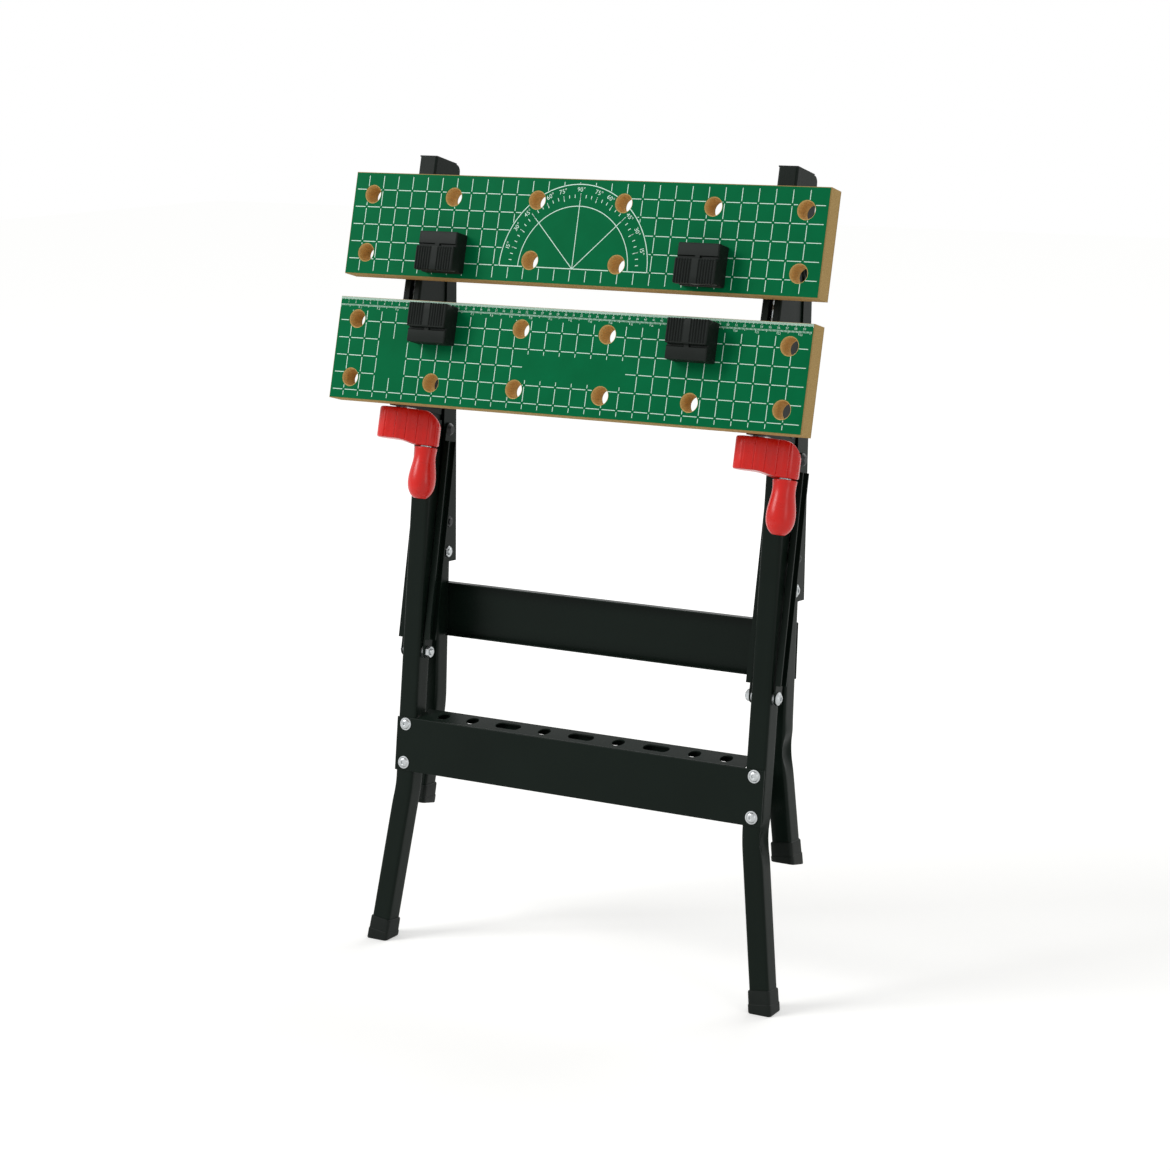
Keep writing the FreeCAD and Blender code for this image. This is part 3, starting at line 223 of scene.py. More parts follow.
def moulded_nylon():
    """Glass-filled nylon, moulded black with a fine spark-eroded grain of about 0.6 mm: dull,
    with a grey bloom on its high spots."""
    made, tree, shader, where = finish("moulded_black_nylon", "#151b18", 0.5, specular=0.14)
    grain = add(tree, "ShaderNodeTexNoise", {"Vector": where, "Scale": 1500.0, "Detail": 2.0})
    bloom = add(tree, "ShaderNodeTexNoise", {"Vector": where, "Scale": 55.0, "Detail": 4.0})
    tone = add(tree, "ShaderNodeMix", {0: bloom.outputs[0], 6: srgb("#0d120f"),
                                       7: srgb("#191f1c")}, data_type="RGBA")
    bump = add(tree, "ShaderNodeBump", {"Height": grain.outputs[0], "Strength": 0.35,
                                        "Distance": 0.0002})
    tree.links.new(tone.outputs[2], shader.inputs["Base Color"])
    tree.links.new(bump.outputs[0], shader.inputs["Normal"])
    return made


def red_abs():
    """ABS, moulded in a polished tool: saturated red with clear, slightly wavy highlights."""
    made, tree, shader, where = finish("moulded_red_abs", "#d0140a", 0.26, ior=1.53, specular=0.34)
    wave = add(tree, "ShaderNodeTexNoise", {"Vector": where, "Scale": 60.0, "Detail": 2.0})
    tone = add(tree, "ShaderNodeMix", {0: wave.outputs[0], 6: srgb("#ca1006"),
                                       7: srgb("#e2190c")}, data_type="RGBA")
    gloss = add(tree, "ShaderNodeMapRange", {0: wave.outputs[0], 1: 0.3, 2: 0.7, 3: 0.24,
                                             4: 0.34})
    bump = add(tree, "ShaderNodeBump", {"Height": wave.outputs[0], "Strength": 0.10,
                                        "Distance": 0.0010})
    tree.links.new(tone.outputs[2], shader.inputs["Base Color"])
    tree.links.new(gloss.outputs[0], shader.inputs["Roughness"])
    tree.links.new(bump.outputs[0], shader.inputs["Normal"])
    return made


def zinc_plate(thread=False):
    """Bright zinc-plated steel: pale grey with a faint blue cast and cloudy gloss.  On the
    screws a band every 2 mm along their length stands for the thread."""
    made, tree, shader, where = finish("threaded_zinc_steel" if thread else "zinc_plated_steel",
                                       "#b9bdbf", 0.3, metallic=1.0)
    cloud = add(tree, "ShaderNodeTexNoise", {"Vector": where, "Scale": 160.0, "Detail": 3.0})
    tone = add(tree, "ShaderNodeMix", {0: cloud.outputs[0], 6: srgb("#9fa4a6"),
                                       7: srgb("#ced1d2")}, data_type="RGBA")
    gloss = add(tree, "ShaderNodeMapRange", {0: cloud.outputs[0], 1: 0.3, 2: 0.7, 3: 0.24,
                                             4: 0.42})
    tree.links.new(tone.outputs[2], shader.inputs["Base Color"])
    tree.links.new(gloss.outputs[0], shader.inputs["Roughness"])
    if thread:
        lie = add(tree, "ShaderNodeMapping", {0: where, 2: (math.radians(-TOP_TURN), 0, 0)})
        turns = add(tree, "ShaderNodeTexWave", {0: lie.outputs[0], "Scale": 25.0},
                    bands_direction="Y")
        bump = add(tree, "ShaderNodeBump", {"Height": turns.outputs[1], "Strength": 0.9,
                                            "Distance": 0.0008})
        tree.links.new(bump.outputs[0], shader.inputs["Normal"])
    return made


def blacked_steel():
    """Steel bolts blackened in hot oxide: a thin dark skin that still shines like oiled metal."""
    made, tree, shader, where = finish("black_oxide_steel", "#15191a", 0.4, specular=0.3)
    oil = add(tree, "ShaderNodeTexNoise", {"Vector": where, "Scale": 220.0, "Detail": 3.0})
    tone = add(tree, "ShaderNodeMix", {0: oil.outputs[0], 6: srgb("#0d1011"),
                                       7: srgb("#202526")}, data_type="RGBA")
    gloss = add(tree, "ShaderNodeMapRange", {0: oil.outputs[0], 1: 0.3, 2: 0.7, 3: 0.32,
                                             4: 0.50})
    tree.links.new(tone.outputs[2], shader.inputs["Base Color"])
    tree.links.new(gloss.outputs[0], shader.inputs["Roughness"])
    return made


def printed_board():
    """Medium-density fibreboard with a green lacquered face and a brown back.  Its sawn edges
    are tan with fine flecks of fibre about 1 mm long, denser towards both faces.  The drilled
    hole walls are the same fibreboard, painted a lighter, warmer brown: painted bounce light."""
    made, tree, shader, where = finish("lacquered_fibreboard", "#006439", 0.5, specular=0.03)
    lie = np.linalg.inv(TOP)
    board = add(tree, "ShaderNodeMapping", {0: where, 1: (lie[:3, 3] * 0.001).tolist(),
                                            2: (math.radians(-TOP_TURN), 0, 0)}).outputs[0]
    axes = add(tree, "ShaderNodeSeparateXYZ", {0: board}).outputs
    # in metres: the lacquer's depth, the back's level and half the board's 25 mm
    lacquer, back_level, half_board = 0.00025, -0.02485, 0.0125
    face = add(tree, "ShaderNodeMath", {0: axes[2], 1: -lacquer}, operation="GREATER_THAN")
    back = add(tree, "ShaderNodeMath", {0: axes[2], 1: back_level}, operation="LESS_THAN")
    # inside either jaw's outline: near enough to the middle along x, and to the jaw's own
    # centre line, which is half_apart on one side or the other of the line between both
    half_length, half_width, between, half_apart = 0.2995, 0.0578, 0.13125, 0.07225
    along = add(tree, "ShaderNodeMath", {0: axes[0]}, operation="ABSOLUTE")
    along = add(tree, "ShaderNodeMath", {0: along.outputs[0], 1: half_length},
                operation="LESS_THAN")
    over = add(tree, "ShaderNodeMath", {0: axes[1], 1: between}, operation="ADD")
    over = add(tree, "ShaderNodeMath", {0: over.outputs[0]}, operation="ABSOLUTE")
    over = add(tree, "ShaderNodeMath", {0: over.outputs[0], 1: half_apart}, operation="SUBTRACT")
    over = add(tree, "ShaderNodeMath", {0: over.outputs[0]}, operation="ABSOLUTE")
    over = add(tree, "ShaderNodeMath", {0: over.outputs[0], 1: half_width}, operation="LESS_THAN")
    drilled = add(tree, "ShaderNodeMath", {0: along.outputs[0], 1: over.outputs[0]},
                  operation="MULTIPLY")
    long = add(tree, "ShaderNodeMapping", {0: board, 3: (0.35, 1.0, 1.0)})
    fibre = add(tree, "ShaderNodeTexNoise", {0: long.outputs[0], "Scale": 900.0, "Detail": 4.0,
                                             "Roughness": 0.7})
    cloud = add(tree, "ShaderNodeTexNoise", {0: board, "Scale": 30.0, "Detail": 3.0})
    fleck = add(tree, "ShaderNodeMapRange", {0: fibre.outputs[0], 1: 0.35, 2: 0.65})
    edge = add(tree, "ShaderNodeMix", {0: fleck.outputs[0], 6: srgb("#a58753"),
                                       7: srgb("#c8aa74")}, data_type="RGBA")
    # painted light: the hole walls get a lighter, warmer copy of the edges' colour, standing in for warm light
    # bounced inside the holes
    hole = add(tree, "ShaderNodeMix", {0: fleck.outputs[0], 6: srgb("#c39a55"),
                                       7: srgb("#e2c084")}, data_type="RGBA")
    # the outer 3 mm of the board's thickness is pressed denser, and darker
    deep = add(tree, "ShaderNodeMath", {0: axes[2], 1: half_board}, operation="ADD")
    deep = add(tree, "ShaderNodeMath", {0: deep.outputs[0]}, operation="ABSOLUTE")
    dense = add(tree, "ShaderNodeMapRange", {0: deep.outputs[0], 1: half_board - 0.003,
                                             2: half_board, 3: 0.0, 4: 0.45})
    edge = add(tree, "ShaderNodeMix", {0: dense.outputs[0], 6: edge.outputs[2],
                                       7: srgb("#8f7142")}, data_type="RGBA")
    wood = add(tree, "ShaderNodeMix", {0: drilled.outputs[0], 6: edge.outputs[2],
                                       7: hole.outputs[2]}, data_type="RGBA")
    wood = add(tree, "ShaderNodeMix", {0: back.outputs[0], 6: wood.outputs[2],
                                       7: srgb("#7d5f3f")}, data_type="RGBA")
    green = add(tree, "ShaderNodeMix", {0: cloud.outputs[0], 6: srgb("#005f36"),
                                        7: srgb("#006e42")}, data_type="RGBA")
    paint = add(tree, "ShaderNodeMix", {0: face.outputs[0], 6: wood.outputs[2],
                                        7: green.outputs[2]}, data_type="RGBA")
    gloss = add(tree, "ShaderNodeMapRange", {0: face.outputs[0], 3: 0.78, 4: 0.45})
    rough = add(tree, "ShaderNodeMapRange", {0: face.outputs[0], 3: 0.5, 4: 0.02})
    bump = add(tree, "ShaderNodeBump", {"Height": fibre.outputs[0], "Strength": rough.outputs[0],
                                        "Distance": 0.0003})
    tree.links.new(paint.outputs[2], shader.inputs["Base Color"])
    tree.links.new(gloss.outputs[0], shader.inputs["Roughness"])
    tree.links.new(bump.outputs[0], shader.inputs["Normal"])
    return made


def screen_ink():
    """Screen-printed white ink on the green lacquer: thin enough for a little green to show."""
    made, tree, shader, where = finish("screen_printed_ink", "#cfeadb", 0.4)
    thin = add(tree, "ShaderNodeTexNoise", {"Vector": where, "Scale": 300.0, "Detail": 2.0})
    tone = add(tree, "ShaderNodeMix", {0: thin.outputs[0], 6: srgb("#b4dcc8"),
                                       7: srgb("#def2e7")}, data_type="RGBA")
    tree.links.new(tone.outputs[2], shader.inputs["Base Color"])
    return made


COAT = powder_coat()
NYLON = moulded_nylon()
RED = red_abs()
ZINC = zinc_plate()
THREAD = zinc_plate(thread=True)
BOARD = printed_board()
BLACKED = blacked_steel()
INK = screen_ink()

SLOT_FINISH = {"jaw_board": BOARD, "black_paint": COAT, "black_plastic": NYLON,
               "red_plastic": RED, "zinc_steel": ZINC}
OWN_FINISH = {"lead_screw_left": THREAD, "lead_screw_right": THREAD, "strut_rivets": BLACKED}
for part in frame["record"]["subparts"]:
    node = frame["nodes"][part["node"]]
    kept = OWN_FINISH.get(part["node"], SLOT_FINISH[part["material_slot"]])
    if not node.material_slots:
        node.data.materials.append(kept)
    for holder in node.material_slots:
        holder.material = kept

# ------------------------------------------------------------------- legs

def leg_line(bend, along):
    """Centre and direction down a leg: straight, then leaning outwards past the bend.  The
    lean grows evenly over 30 mm; the centre is the running sum of the direction."""
    lean = FOOT_FLARE * np.clip((along - bend + 15) / 30, 0, 1)
    step = np.diff(along, prepend=along[0])
    out = np.cumsum(np.tan(lean) * step)
    return np.stack([out, np.zeros_like(out), -along], axis=-1), lean


def bent_leg(start, bend, end):
    """A rounded square tube down the leg's line.  At the bend the outer face is pinched in by
    a bell-shaped dent, with a low ripple above it, and the side faces bulge a little.  The
    dent fades across the face as one minus the cube of the distance from its middle."""
    along = np.concatenate([np.linspace(start, bend - 60, 8),
                            np.linspace(bend - 55, bend + 55, 56),
                            np.linspace(bend + 60, end, 8)])
    centre, lean = leg_line(bend, along)
    section = rounded_square(TUBE_HALF, TUBE_CORNER)
    u, v = section[:, 0][None, :], section[:, 1][None, :]
    bell = np.exp(-((along - bend) / 15.0) ** 2)[:, None]
    ripple = np.exp(-((along - bend + 24) / 8.0) ** 2)[:, None]
    dent_depth, ripple_height, bulge = 5.2, 0.8, 0.055
    flatness = 1 - np.abs(v / TUBE_HALF) ** 3
    u = u - (dent_depth * bell - ripple_height * ripple) * flatness * (u > 8.0)
    v = v * (1 + bulge * bell * (1 - np.abs(u / TUBE_HALF) ** 2))
    across = np.stack([np.cos(lean), np.zeros_like(lean), np.sin(lean)], axis=-1)
    points = centre[:, None, :] + u[..., None] * across[:, None, :]
    points[..., 1] += v
    return skin(points)


def foot_cap(bend, length, lean):
    """A moulded cap on the leg's end: rounded square rings up the leg's line, the lowest cut
    along the floor's plane, which leans in the leg's frame."""
    down = np.array((math.sin(FOOT_FLARE), 0, -math.cos(FOOT_FLARE)))
    across = np.array((math.cos(FOOT_FLARE), 0, math.sin(FOOT_FLARE)))
    sole = np.array((0, 0, -bend)) + down * (length - bend) / math.cos(FOOT_FLARE)
    tilt = math.radians(lean)
    normal = np.array((0, -math.sin(tilt), math.cos(tilt)))
    rows, corner = [], 3.2
    for half, height, on_floor in ((9.0, 0.0, 1), (12.9, 0.0, 1), (13.7, 0.5, 1), (14.0, 1.6, 1),
                                   (14.0, 9.0, 0), (14.0, 9.6, 0), (13.5, 10.2, 0),
                                   (13.4, 24.0, 0), (13.0, 25.4, 0), (12.2, 25.9, 0),
                                   (12.05, 25.0, 0)):
        ring = rounded_square(half, corner)
        points = sole + ring[:, :1] * across + ring[:, 1:] * np.array((0, 1.0, 0))
        if on_floor:
            above = (points - (0, 0, -length)) @ normal / (down @ normal)
            points = points - above[:, None] * down
        rows.append(points - height * down)
    return skin(np.array(rows))


# which legs, their body, their frame, the tube's top, its bend, the foot, the foot's slope
LEGS = (("front", "front_frame", FRONT_LEGS, 20.0, 452.0, 643.4, FRONT_LEAN),
        ("rear", "rear_frame", REAR_LEGS, 300.0, 535.0, 661.0, -REAR_SPREAD))
INTO_CAP = 9.0
for which, body, place, start, bend, length, lean in LEGS:
    for name, side in SIDES:
        stand = place @ shifted(x=side * HALF_SPAN) @ np.diag([side, 1.0, 1.0, 1.0])
        tube = bent_leg(start, bend, length - INTO_CAP)
        piece("%s_leg_tube_%s" % (which, name), [(*tube, stand)], body, COAT,
              ["%s_leg_%s" % (which, name)])
        cap = foot_cap(bend, length, lean)
        piece("%s_foot_cap_%s" % (which, name), [(*cap, stand)], body, NYLON,
              ["%s_foot_%s" % (which, name)])

# ------------------------------------------------------- cranks and knobs

def disc_hull(discs, count):
    """The outline round several discs: for each outward direction the furthest disc's rim,
    then points spaced evenly along that line, with their outward directions."""
    angle = np.linspace(0, 2 * np.pi, 2880, endpoint=False)
    outward = np.stack([np.cos(angle), np.sin(angle)], axis=-1)
    centres, radii = np.array([d[:2] for d in discs]), np.array([d[2] for d in discs])
    nearest = (outward @ centres.T + radii).argmax(axis=1)
    line = centres[nearest] + radii[nearest][:, None] * outward
    closed = np.concatenate([line, line[:1]])
    length = np.concatenate([[0], np.cumsum(np.hypot(*np.diff(closed, axis=0).T))])
    even = np.linspace(0, length[-1], count, endpoint=False)
    points = np.stack([np.interp(even, length, closed[:, k]) for k in (0, 1)], axis=-1)
    tangent = np.roll(points, -1, axis=0) - np.roll(points, 1, axis=0)
    tangent /= np.hypot(*tangent.T)[:, None]
    return points, np.stack([tangent[:, 1], -tangent[:, 0]], axis=-1), even, length[-1]


def crank_arm():
    """A thick arm.  Its outline is the hull of the hub, a short thumb lobe and the knob lobe,
    with narrow upright grooves about every 13 mm.  The side next to the jaw is rounded off
    over the knob lobe along a circle, and the other side steps down to the knob there."""
    along = np.array((math.cos(ARM_TURN), math.sin(ARM_TURN)))
    lobe, hub, thumb_reach, pitch = 14.4, 16.6, 9.5, 13.0
    line, outward, even, total = disc_hull(((*(ARM_THROW * along), lobe), (0, 0, hub),
                                            (*(-thumb_reach * along), lobe)), 320)
    phase = (even / total * round(total / pitch) + 0.35) % 1 - 0.5
    groove = 0.8 * np.exp(-(phase * pitch / 0.55) ** 2) + 0.35 * (2 * phase) ** 2
    reach = line @ along
    round_off, from_reach = 22.0, 27.0
    near = round_off - np.sqrt(round_off ** 2 - np.clip(reach - from_reach, 0, 21.0) ** 2)
    far = 36.0 + 4.0 * (1 - np.cos(np.pi * np.clip(reach / 26, 0, 1))) / 2
    rows = []
    for inset, share, lift, cut in ((7, 0, 0, 0), (2.4, 0, 0, 0), (1.2, 0, 0.25, 0.4),
                                    (0.35, 0, 1.0, 0.8), (0, 0, 2.2, 1), (0, 0.33, 0, 1),
                                    (0, 0.66, 0, 1), (0, 1, -2.2, 1), (0.35, 1, -1.0, 0.8),
                                    (1.2, 1, -0.25, 0.4), (2.4, 1, 0, 0), (7, 1, 0, 0)):
        flat = line - outward * (inset + groove * cut)[:, None]
        height = near + (far - near) * share + lift
        rows.append(np.concatenate([flat, height[:, None]], axis=-1))
    return skin(np.array(rows))


# radius and height up the pin: the bore, the collar, the waist, the grip and the pin's recess
KNOB_PROFILE = ((3.2, 6.0), (3.2, 0.2), (12.4, 0.2), (13.1, 0.5), (13.3, 1.2), (13.2, 2.6),
                (12.9, 5.0), (12.6, 8.5), (12.6, 12.0), (12.9, 15.5), (13.5, 19.5),
                (14.4, 24.5), (15.2, 29.5), (15.75, 34.0), (15.95, 38.0), (15.9, 42.0),
                (15.4, 46.0), (14.3, 50.0), (12.7, 53.4), (10.6, 56.3), (8.3, 58.4),
                (6.9, 59.3), (6.3, 59.4), (6.1, 58.9), (6.1, 54.2), (3.2, 54.2))

for name, side in SIDES:
    hub = crank_frame(side)
    axis = shifted(ARM_THROW * math.cos(ARM_TURN), ARM_THROW * math.sin(ARM_TURN), ARM_TOP)
    piece("crank_%s_shape" % name, [(*crank_arm(), hub)], name + "_crank", RED,
          ["crank_arm_" + name], sharp=40)
    turned = skin(turned_profile(KNOB_PROFILE, 72), caps=False)
    piece("knob_%s_shape" % name, [(*turned, hub @ axis)], name + "_knob", RED,
          ["knob_" + name], sharp=50)

# ---------------------------------------------------------------- bench dogs

def dog_block():
    """A profile in y and z carried along x.  Ribs, one every 3.3 mm, run back over the
    gripping half: between them the profile drops by one minus a squared cosine of x.  A broad
    plain rib is left in the middle, and the ends are drawn in a little."""
    profile = np.array([  # y, z, ribbed
        (-19.2, 0.1, 0), (-19.9, 0.9, 0), (-20.0, 9.6, 0), (-19.4, 10.6, 0), (-17.1, 13.1, 0),
        (-19.4, 15.6, 0), (-20.0, 16.6, 0.7), (-20.0, 24.4, 0.7), (-19.6, 25.6, 1),
        (-18.7, 26.0, 1), (-11.5, 26.0, 1), (-3.5, 26.0, 1), (5.1, 26.0, 1), (5.9, 25.95, 0.3),
        (6.7, 25.9, 0), (7.3, 25.4, 0), (7.4, 20.9, 0), (8.1, 20.0, 0), (9.9, 20.0, 0),
        (10.8, 21.9, 0), (23.1, 21.9, 0), (24.1, 21.4, 0), (24.5, 20.4, 0), (24.5, 0.9, 0),
        (23.8, 0.1, 0)])
    x = np.concatenate([[-25.0, -24.8, -24.2], np.linspace(-23.6, 23.6, 237),
                        [24.2, 24.8, 25.0]])
    plain, rib_pitch, rib_depth = 3.6, 3.3, 1.35
    rib = 1 - (0.5 + 0.5 * np.cos(2 * np.pi * (np.abs(x) - plain) / rib_pitch)) ** 2
    rib = rib * (np.abs(x) < 23.4) * (np.abs(x) > plain)
    drop = rib_depth * rib[:, None] * profile[:, 2]
    inset = np.interp(np.abs(x), (23.9, 24.6, 25.0), (0.0, 0.35, 1.1))[:, None]
    y, z = profile[:, 0][None, :], profile[:, 1][None, :]
    middle = 2.25
    y = y + inset * np.sign(middle - y) + drop * (y < -19.5)
    z = z - inset * (z > 12) - drop * (z > 25)
    # the step's foot is bridged by the middle rib
    bridge = (np.abs(x) < 3.0)[:, None] & (profile[:, 0] > 7.3) & (profile[:, 0] < 10.5)
    z = np.where(bridge, np.maximum(z, 21.9), z)
    points = np.stack([np.broadcast_to(x[:, None], z.shape), np.broadcast_to(y, z.shape), z], -1)
    return skin(points)


# radius and height of the peg under the block, with its chamfered end
PEG = ((8.0, -33.9), (9.0, -33.9), (9.7, -33.0), (9.7, -22.0), (9.7, -10.0), (9.7, 0.3),
       (8.0, 0.3))
for row, y, turn in (("rear", REAR_HOLE_ROWS[1], 1), ("front", FRONT_HOLE_ROWS[0], -1)):
    for name, side in SIDES:
        stand = TOP @ shifted(side * DOG_COLUMN, y, 0) @ np.diag([turn, turn, 1.0, 1.0])
        label = "dog_%s_%s" % (row, name)
        parts = [(*dog_block(), stand), (*skin(turned_profile(PEG)), stand)]
        piece(label + "_shape", parts, label, NYLON, [label], sharp=38)

# ---------------------------------------------------------------- fasteners

# radius and height above the clamped face: flange, dome, and the dimple in its middle
HEAD = ((3.2, -0.02), (7.3, -0.02), (7.5, -0.3), (7.4, -0.75), (6.0, -1.0), (5.75, -1.3),
        (5.4, -2.2), (4.6, -2.95), (3.4, -3.35), (2.3, -3.48), (2.0, -3.3), (1.9, -2.2))


def hexagon_nut(grip):
    """A nut and the bolt's end past it: six sides with their corners turned off, then a
    chamfered stub."""
    steps, half_across = 48, 6.0
    angle = np.linspace(0, 2 * np.pi, steps, endpoint=False)
    flat = half_across / np.cos((angle % (np.pi / 3)) - np.pi / 6)
    rows = []
    for limit, height in ((5.0, 0.0), (6.2, 0.02), (6.9, 0.5), (6.95, 4.3), (6.2, 4.9),
                          (4.2, 4.98)):
        radius = np.minimum(flat, limit)
        rows.append(np.stack([radius * np.cos(angle), radius * np.sin(angle),
                              np.full(steps, grip + height)], axis=-1))
    stub = turned_profile(((3.9, grip + 4.5), (3.9, grip + 6.3), (3.2, grip + 6.95),
                           (1, grip + 7)))
    return skin(np.array(rows)), skin(stub)


def bolt(place, grip):
    """A flanged domed head at the frame's origin and a nut beyond the grip."""
    head = skin(turned_profile(HEAD))
    nut, stub = hexagon_nut(grip)
    return [(*head, place), (*nut, place), (*stub, place)]


def side_bolts(place, face, y, z):
    """A bolt through each side of the frame: the head is on the outer face, that far out from
    the side's middle, and the nut as far in."""
    made = []
    for _, side in SIDES:
        made += bolt(place @ facing((-side, 0, 0), side * (HALF_SPAN + face), y, z), 2 * face)
    return made


def beam_bolts(place, top, face):
    """Two bolts, one above the other, through a beam's sheet and each leg behind it."""
    made, sheet, drops = [], 1.5, (8.0, 54.0)
    for _, side in SIDES:
        for drop in drops:
            made += bolt(place @ facing((0, -face, 0), side * HALF_SPAN,
                                        (TUBE_HALF + sheet) * face, -top - drop),
                         2 * TUBE_HALF + sheet)
    return made


for label, body, metal, skins in (
        ("front_pivot_bolts", "top_frame", BLACKED, side_bolts(TOP, 11.6, *FRONT_PIVOT)),
        ("rear_pivot_bolts", "top_frame", BLACKED, side_bolts(TOP, 13.7, *REAR_PIVOT)),
        ("strut_lower_bolts", "front_frame", ZINC, side_bolts(FRONT_LEGS, 16.3, 0, STRUT_BOLT)),
        ("rear_leg_bolts", "rear_frame", ZINC,
         side_bolts(REAR_LEGS, CHANNEL_FACE, 0, CHANNEL_BOLTS[1])),
        ("tool_shelf_bolts", "front_frame", ZINC, beam_bolts(FRONT_LEGS, FRONT_BEAM_TOP, -1)),
        ("cross_beam_bolts", "rear_frame", ZINC, beam_bolts(REAR_LEGS, REAR_BEAM_TOP, 1))):
    piece(label + "_shape", skins, body, metal, [label], sharp=35)
piece("rear_leg_upper_bolts_shape", side_bolts(REAR_LEGS, CHANNEL_FACE, 0, CHANNEL_BOLTS[0]),
      "rear_frame", BLACKED, sharp=35)

# -------------------------------------------------------------------- print

HOLE_COLUMNS = -275.0 + 110.0 * np.arange(6)
INK_LIFT = 0.05                         # the ink's height over the lacquer
HOLE_RIM = 11.3                         # radius round a dog hole that carries no ink
GRID_LINE, RULE_LINE, ARC_LINE, FINE_LINE = 0.85, 0.56, 1.0, 0.9        # widths of the ink
GRID, INCH = 20.0, 25.4


def holes_at(rows):
    """The centres of a jaw's dog holes, in two rows."""
    return np.array([(x, y) for y in rows for x in HOLE_COLUMNS])


def inked(segments, width, holes, bare=None):
    """Thin strips along segments (x0, y0, x1, y1), cut about every millimetre, without the
    pieces whose middle lies inside a hole's chamfer or in a bare place."""
    start, end = segments[:, :2], segments[:, 2:]
    length = np.hypot(*(end - start).T)
    count = np.maximum(1, np.ceil(length).astype(int))
    which = np.repeat(np.arange(len(segments)), count)
    place = np.arange(count.sum()) - np.repeat(np.cumsum(count) - count, count)
    run = (end - start)[which]
    a = start[which] + run * (place / count[which])[:, None]
    b = start[which] + run * ((place + 1) / count[which])[:, None]
    middle = (a + b) / 2
    away = np.hypot(*np.moveaxis(middle[:, None] - holes[None], -1, 0)).min(axis=1)
    keep = away > HOLE_RIM
    if bare:
        keep &= ~bare(*middle.T)
    a, b, run = a[keep], b[keep], run[keep]
    side = np.stack([-run[:, 1], run[:, 0]], axis=-1) / np.hypot(*run.T)[:, None] * width / 2
    corners = np.stack([a - side, b - side, b + side, a + side], axis=1).reshape(-1, 2)
    points = np.concatenate([corners, np.full((len(corners), 1), INK_LIFT)], axis=-1)
    return points, np.arange(len(points)).reshape(-1, 4).tolist(), TOP


def grid_dashes(columns, rows, ends):
    """The 20 mm grid: dashes between neighbouring crossings, stopping 1.7 mm short of each,
    and on to the ends."""
    gap = 1.7
    stops_x = np.concatenate([[ends[0] - gap], columns, [ends[1] + gap]])
    stops_y = np.concatenate([[ends[2] + gap], rows, [ends[3] - gap]])
    dashes = [(x0 + gap, y, x1 - gap, y) for y in rows
              for x0, x1 in zip(stops_x, stops_x[1:])]
    dashes += [(x, y0 - gap, x, y1 + gap) for x in columns
               for y0, y1 in zip(stops_y, stops_y[1:])]
    return np.array(dashes)


def arc(centre, radius, first, last, count):
    """Short chords along a circle from one angle to another, in degrees."""
    angle = np.radians(np.linspace(first, last, count + 1))
    points = np.array(centre) + radius * np.stack([np.cos(angle), np.sin(angle)], axis=-1)
    return np.concatenate([points[:-1], points[1:]], axis=-1)


def spokes(centre, near, far, degrees):
    """Straight lines out from a centre, between two distances, at each angle."""
    angle = np.radians(np.array(degrees, float))
    ray = np.stack([np.cos(angle), np.sin(angle)], axis=-1)
    return np.concatenate([centre + near * ray, centre + far * ray], axis=-1)


DIGIT_HEIGHT = 0.69                     # of the built-in font's digits at size 1


def cut_glyphs(characters):
    """Each character's flat outline as points and faces, one unit high, and its width."""
    made = {}
    for character in characters:
        curve = bpy.data.curves.new("glyph", "FONT")
        curve.body = character
        holder = bpy.data.objects.new("glyph", curve)
        bpy.context.scene.collection.objects.link(holder)
        bpy.context.view_layer.update()
        shape = bpy.data.meshes.new_from_object(holder.evaluated_get(
            bpy.context.evaluated_depsgraph_get()))
        points = np.empty(len(shape.vertices) * 3)
        shape.vertices.foreach_get("co", points)
        points = points.reshape(-1, 3) / DIGIT_HEIGHT
        faces = [list(polygon.vertices) for polygon in shape.polygons]
        made[character] = points, faces, points[:, 0].max() + 0.1
        bpy.data.objects.remove(holder)
        bpy.data.curves.remove(curve)
        bpy.data.meshes.remove(shape)
    return made


GLYPHS = cut_glyphs("0123456789°")


def number(text, height, x, y, degrees=0.0):
    """Characters side by side, centred on x, y and turned."""
    pen = -sum(GLYPHS[c][2] for c in text) / 2
    c, s = math.cos(math.radians(degrees)), math.sin(math.radians(degrees))
    made = []
    for character in text:
        points, faces, width = GLYPHS[character]
        flat = (points[:, :2] + (pen, -0.5)) * height @ np.array(((c, s), (-s, c))) + (x, y)
        lifted = np.concatenate([flat, np.full((len(flat), 1), INK_LIFT)], axis=-1)
        made.append((lifted, faces, TOP))
        pen += width
    return made


columns = -282.0 + GRID * np.arange(29)
rear_holes = holes_at(REAR_HOLE_ROWS)
front_holes = holes_at(FRONT_HOLE_ROWS)

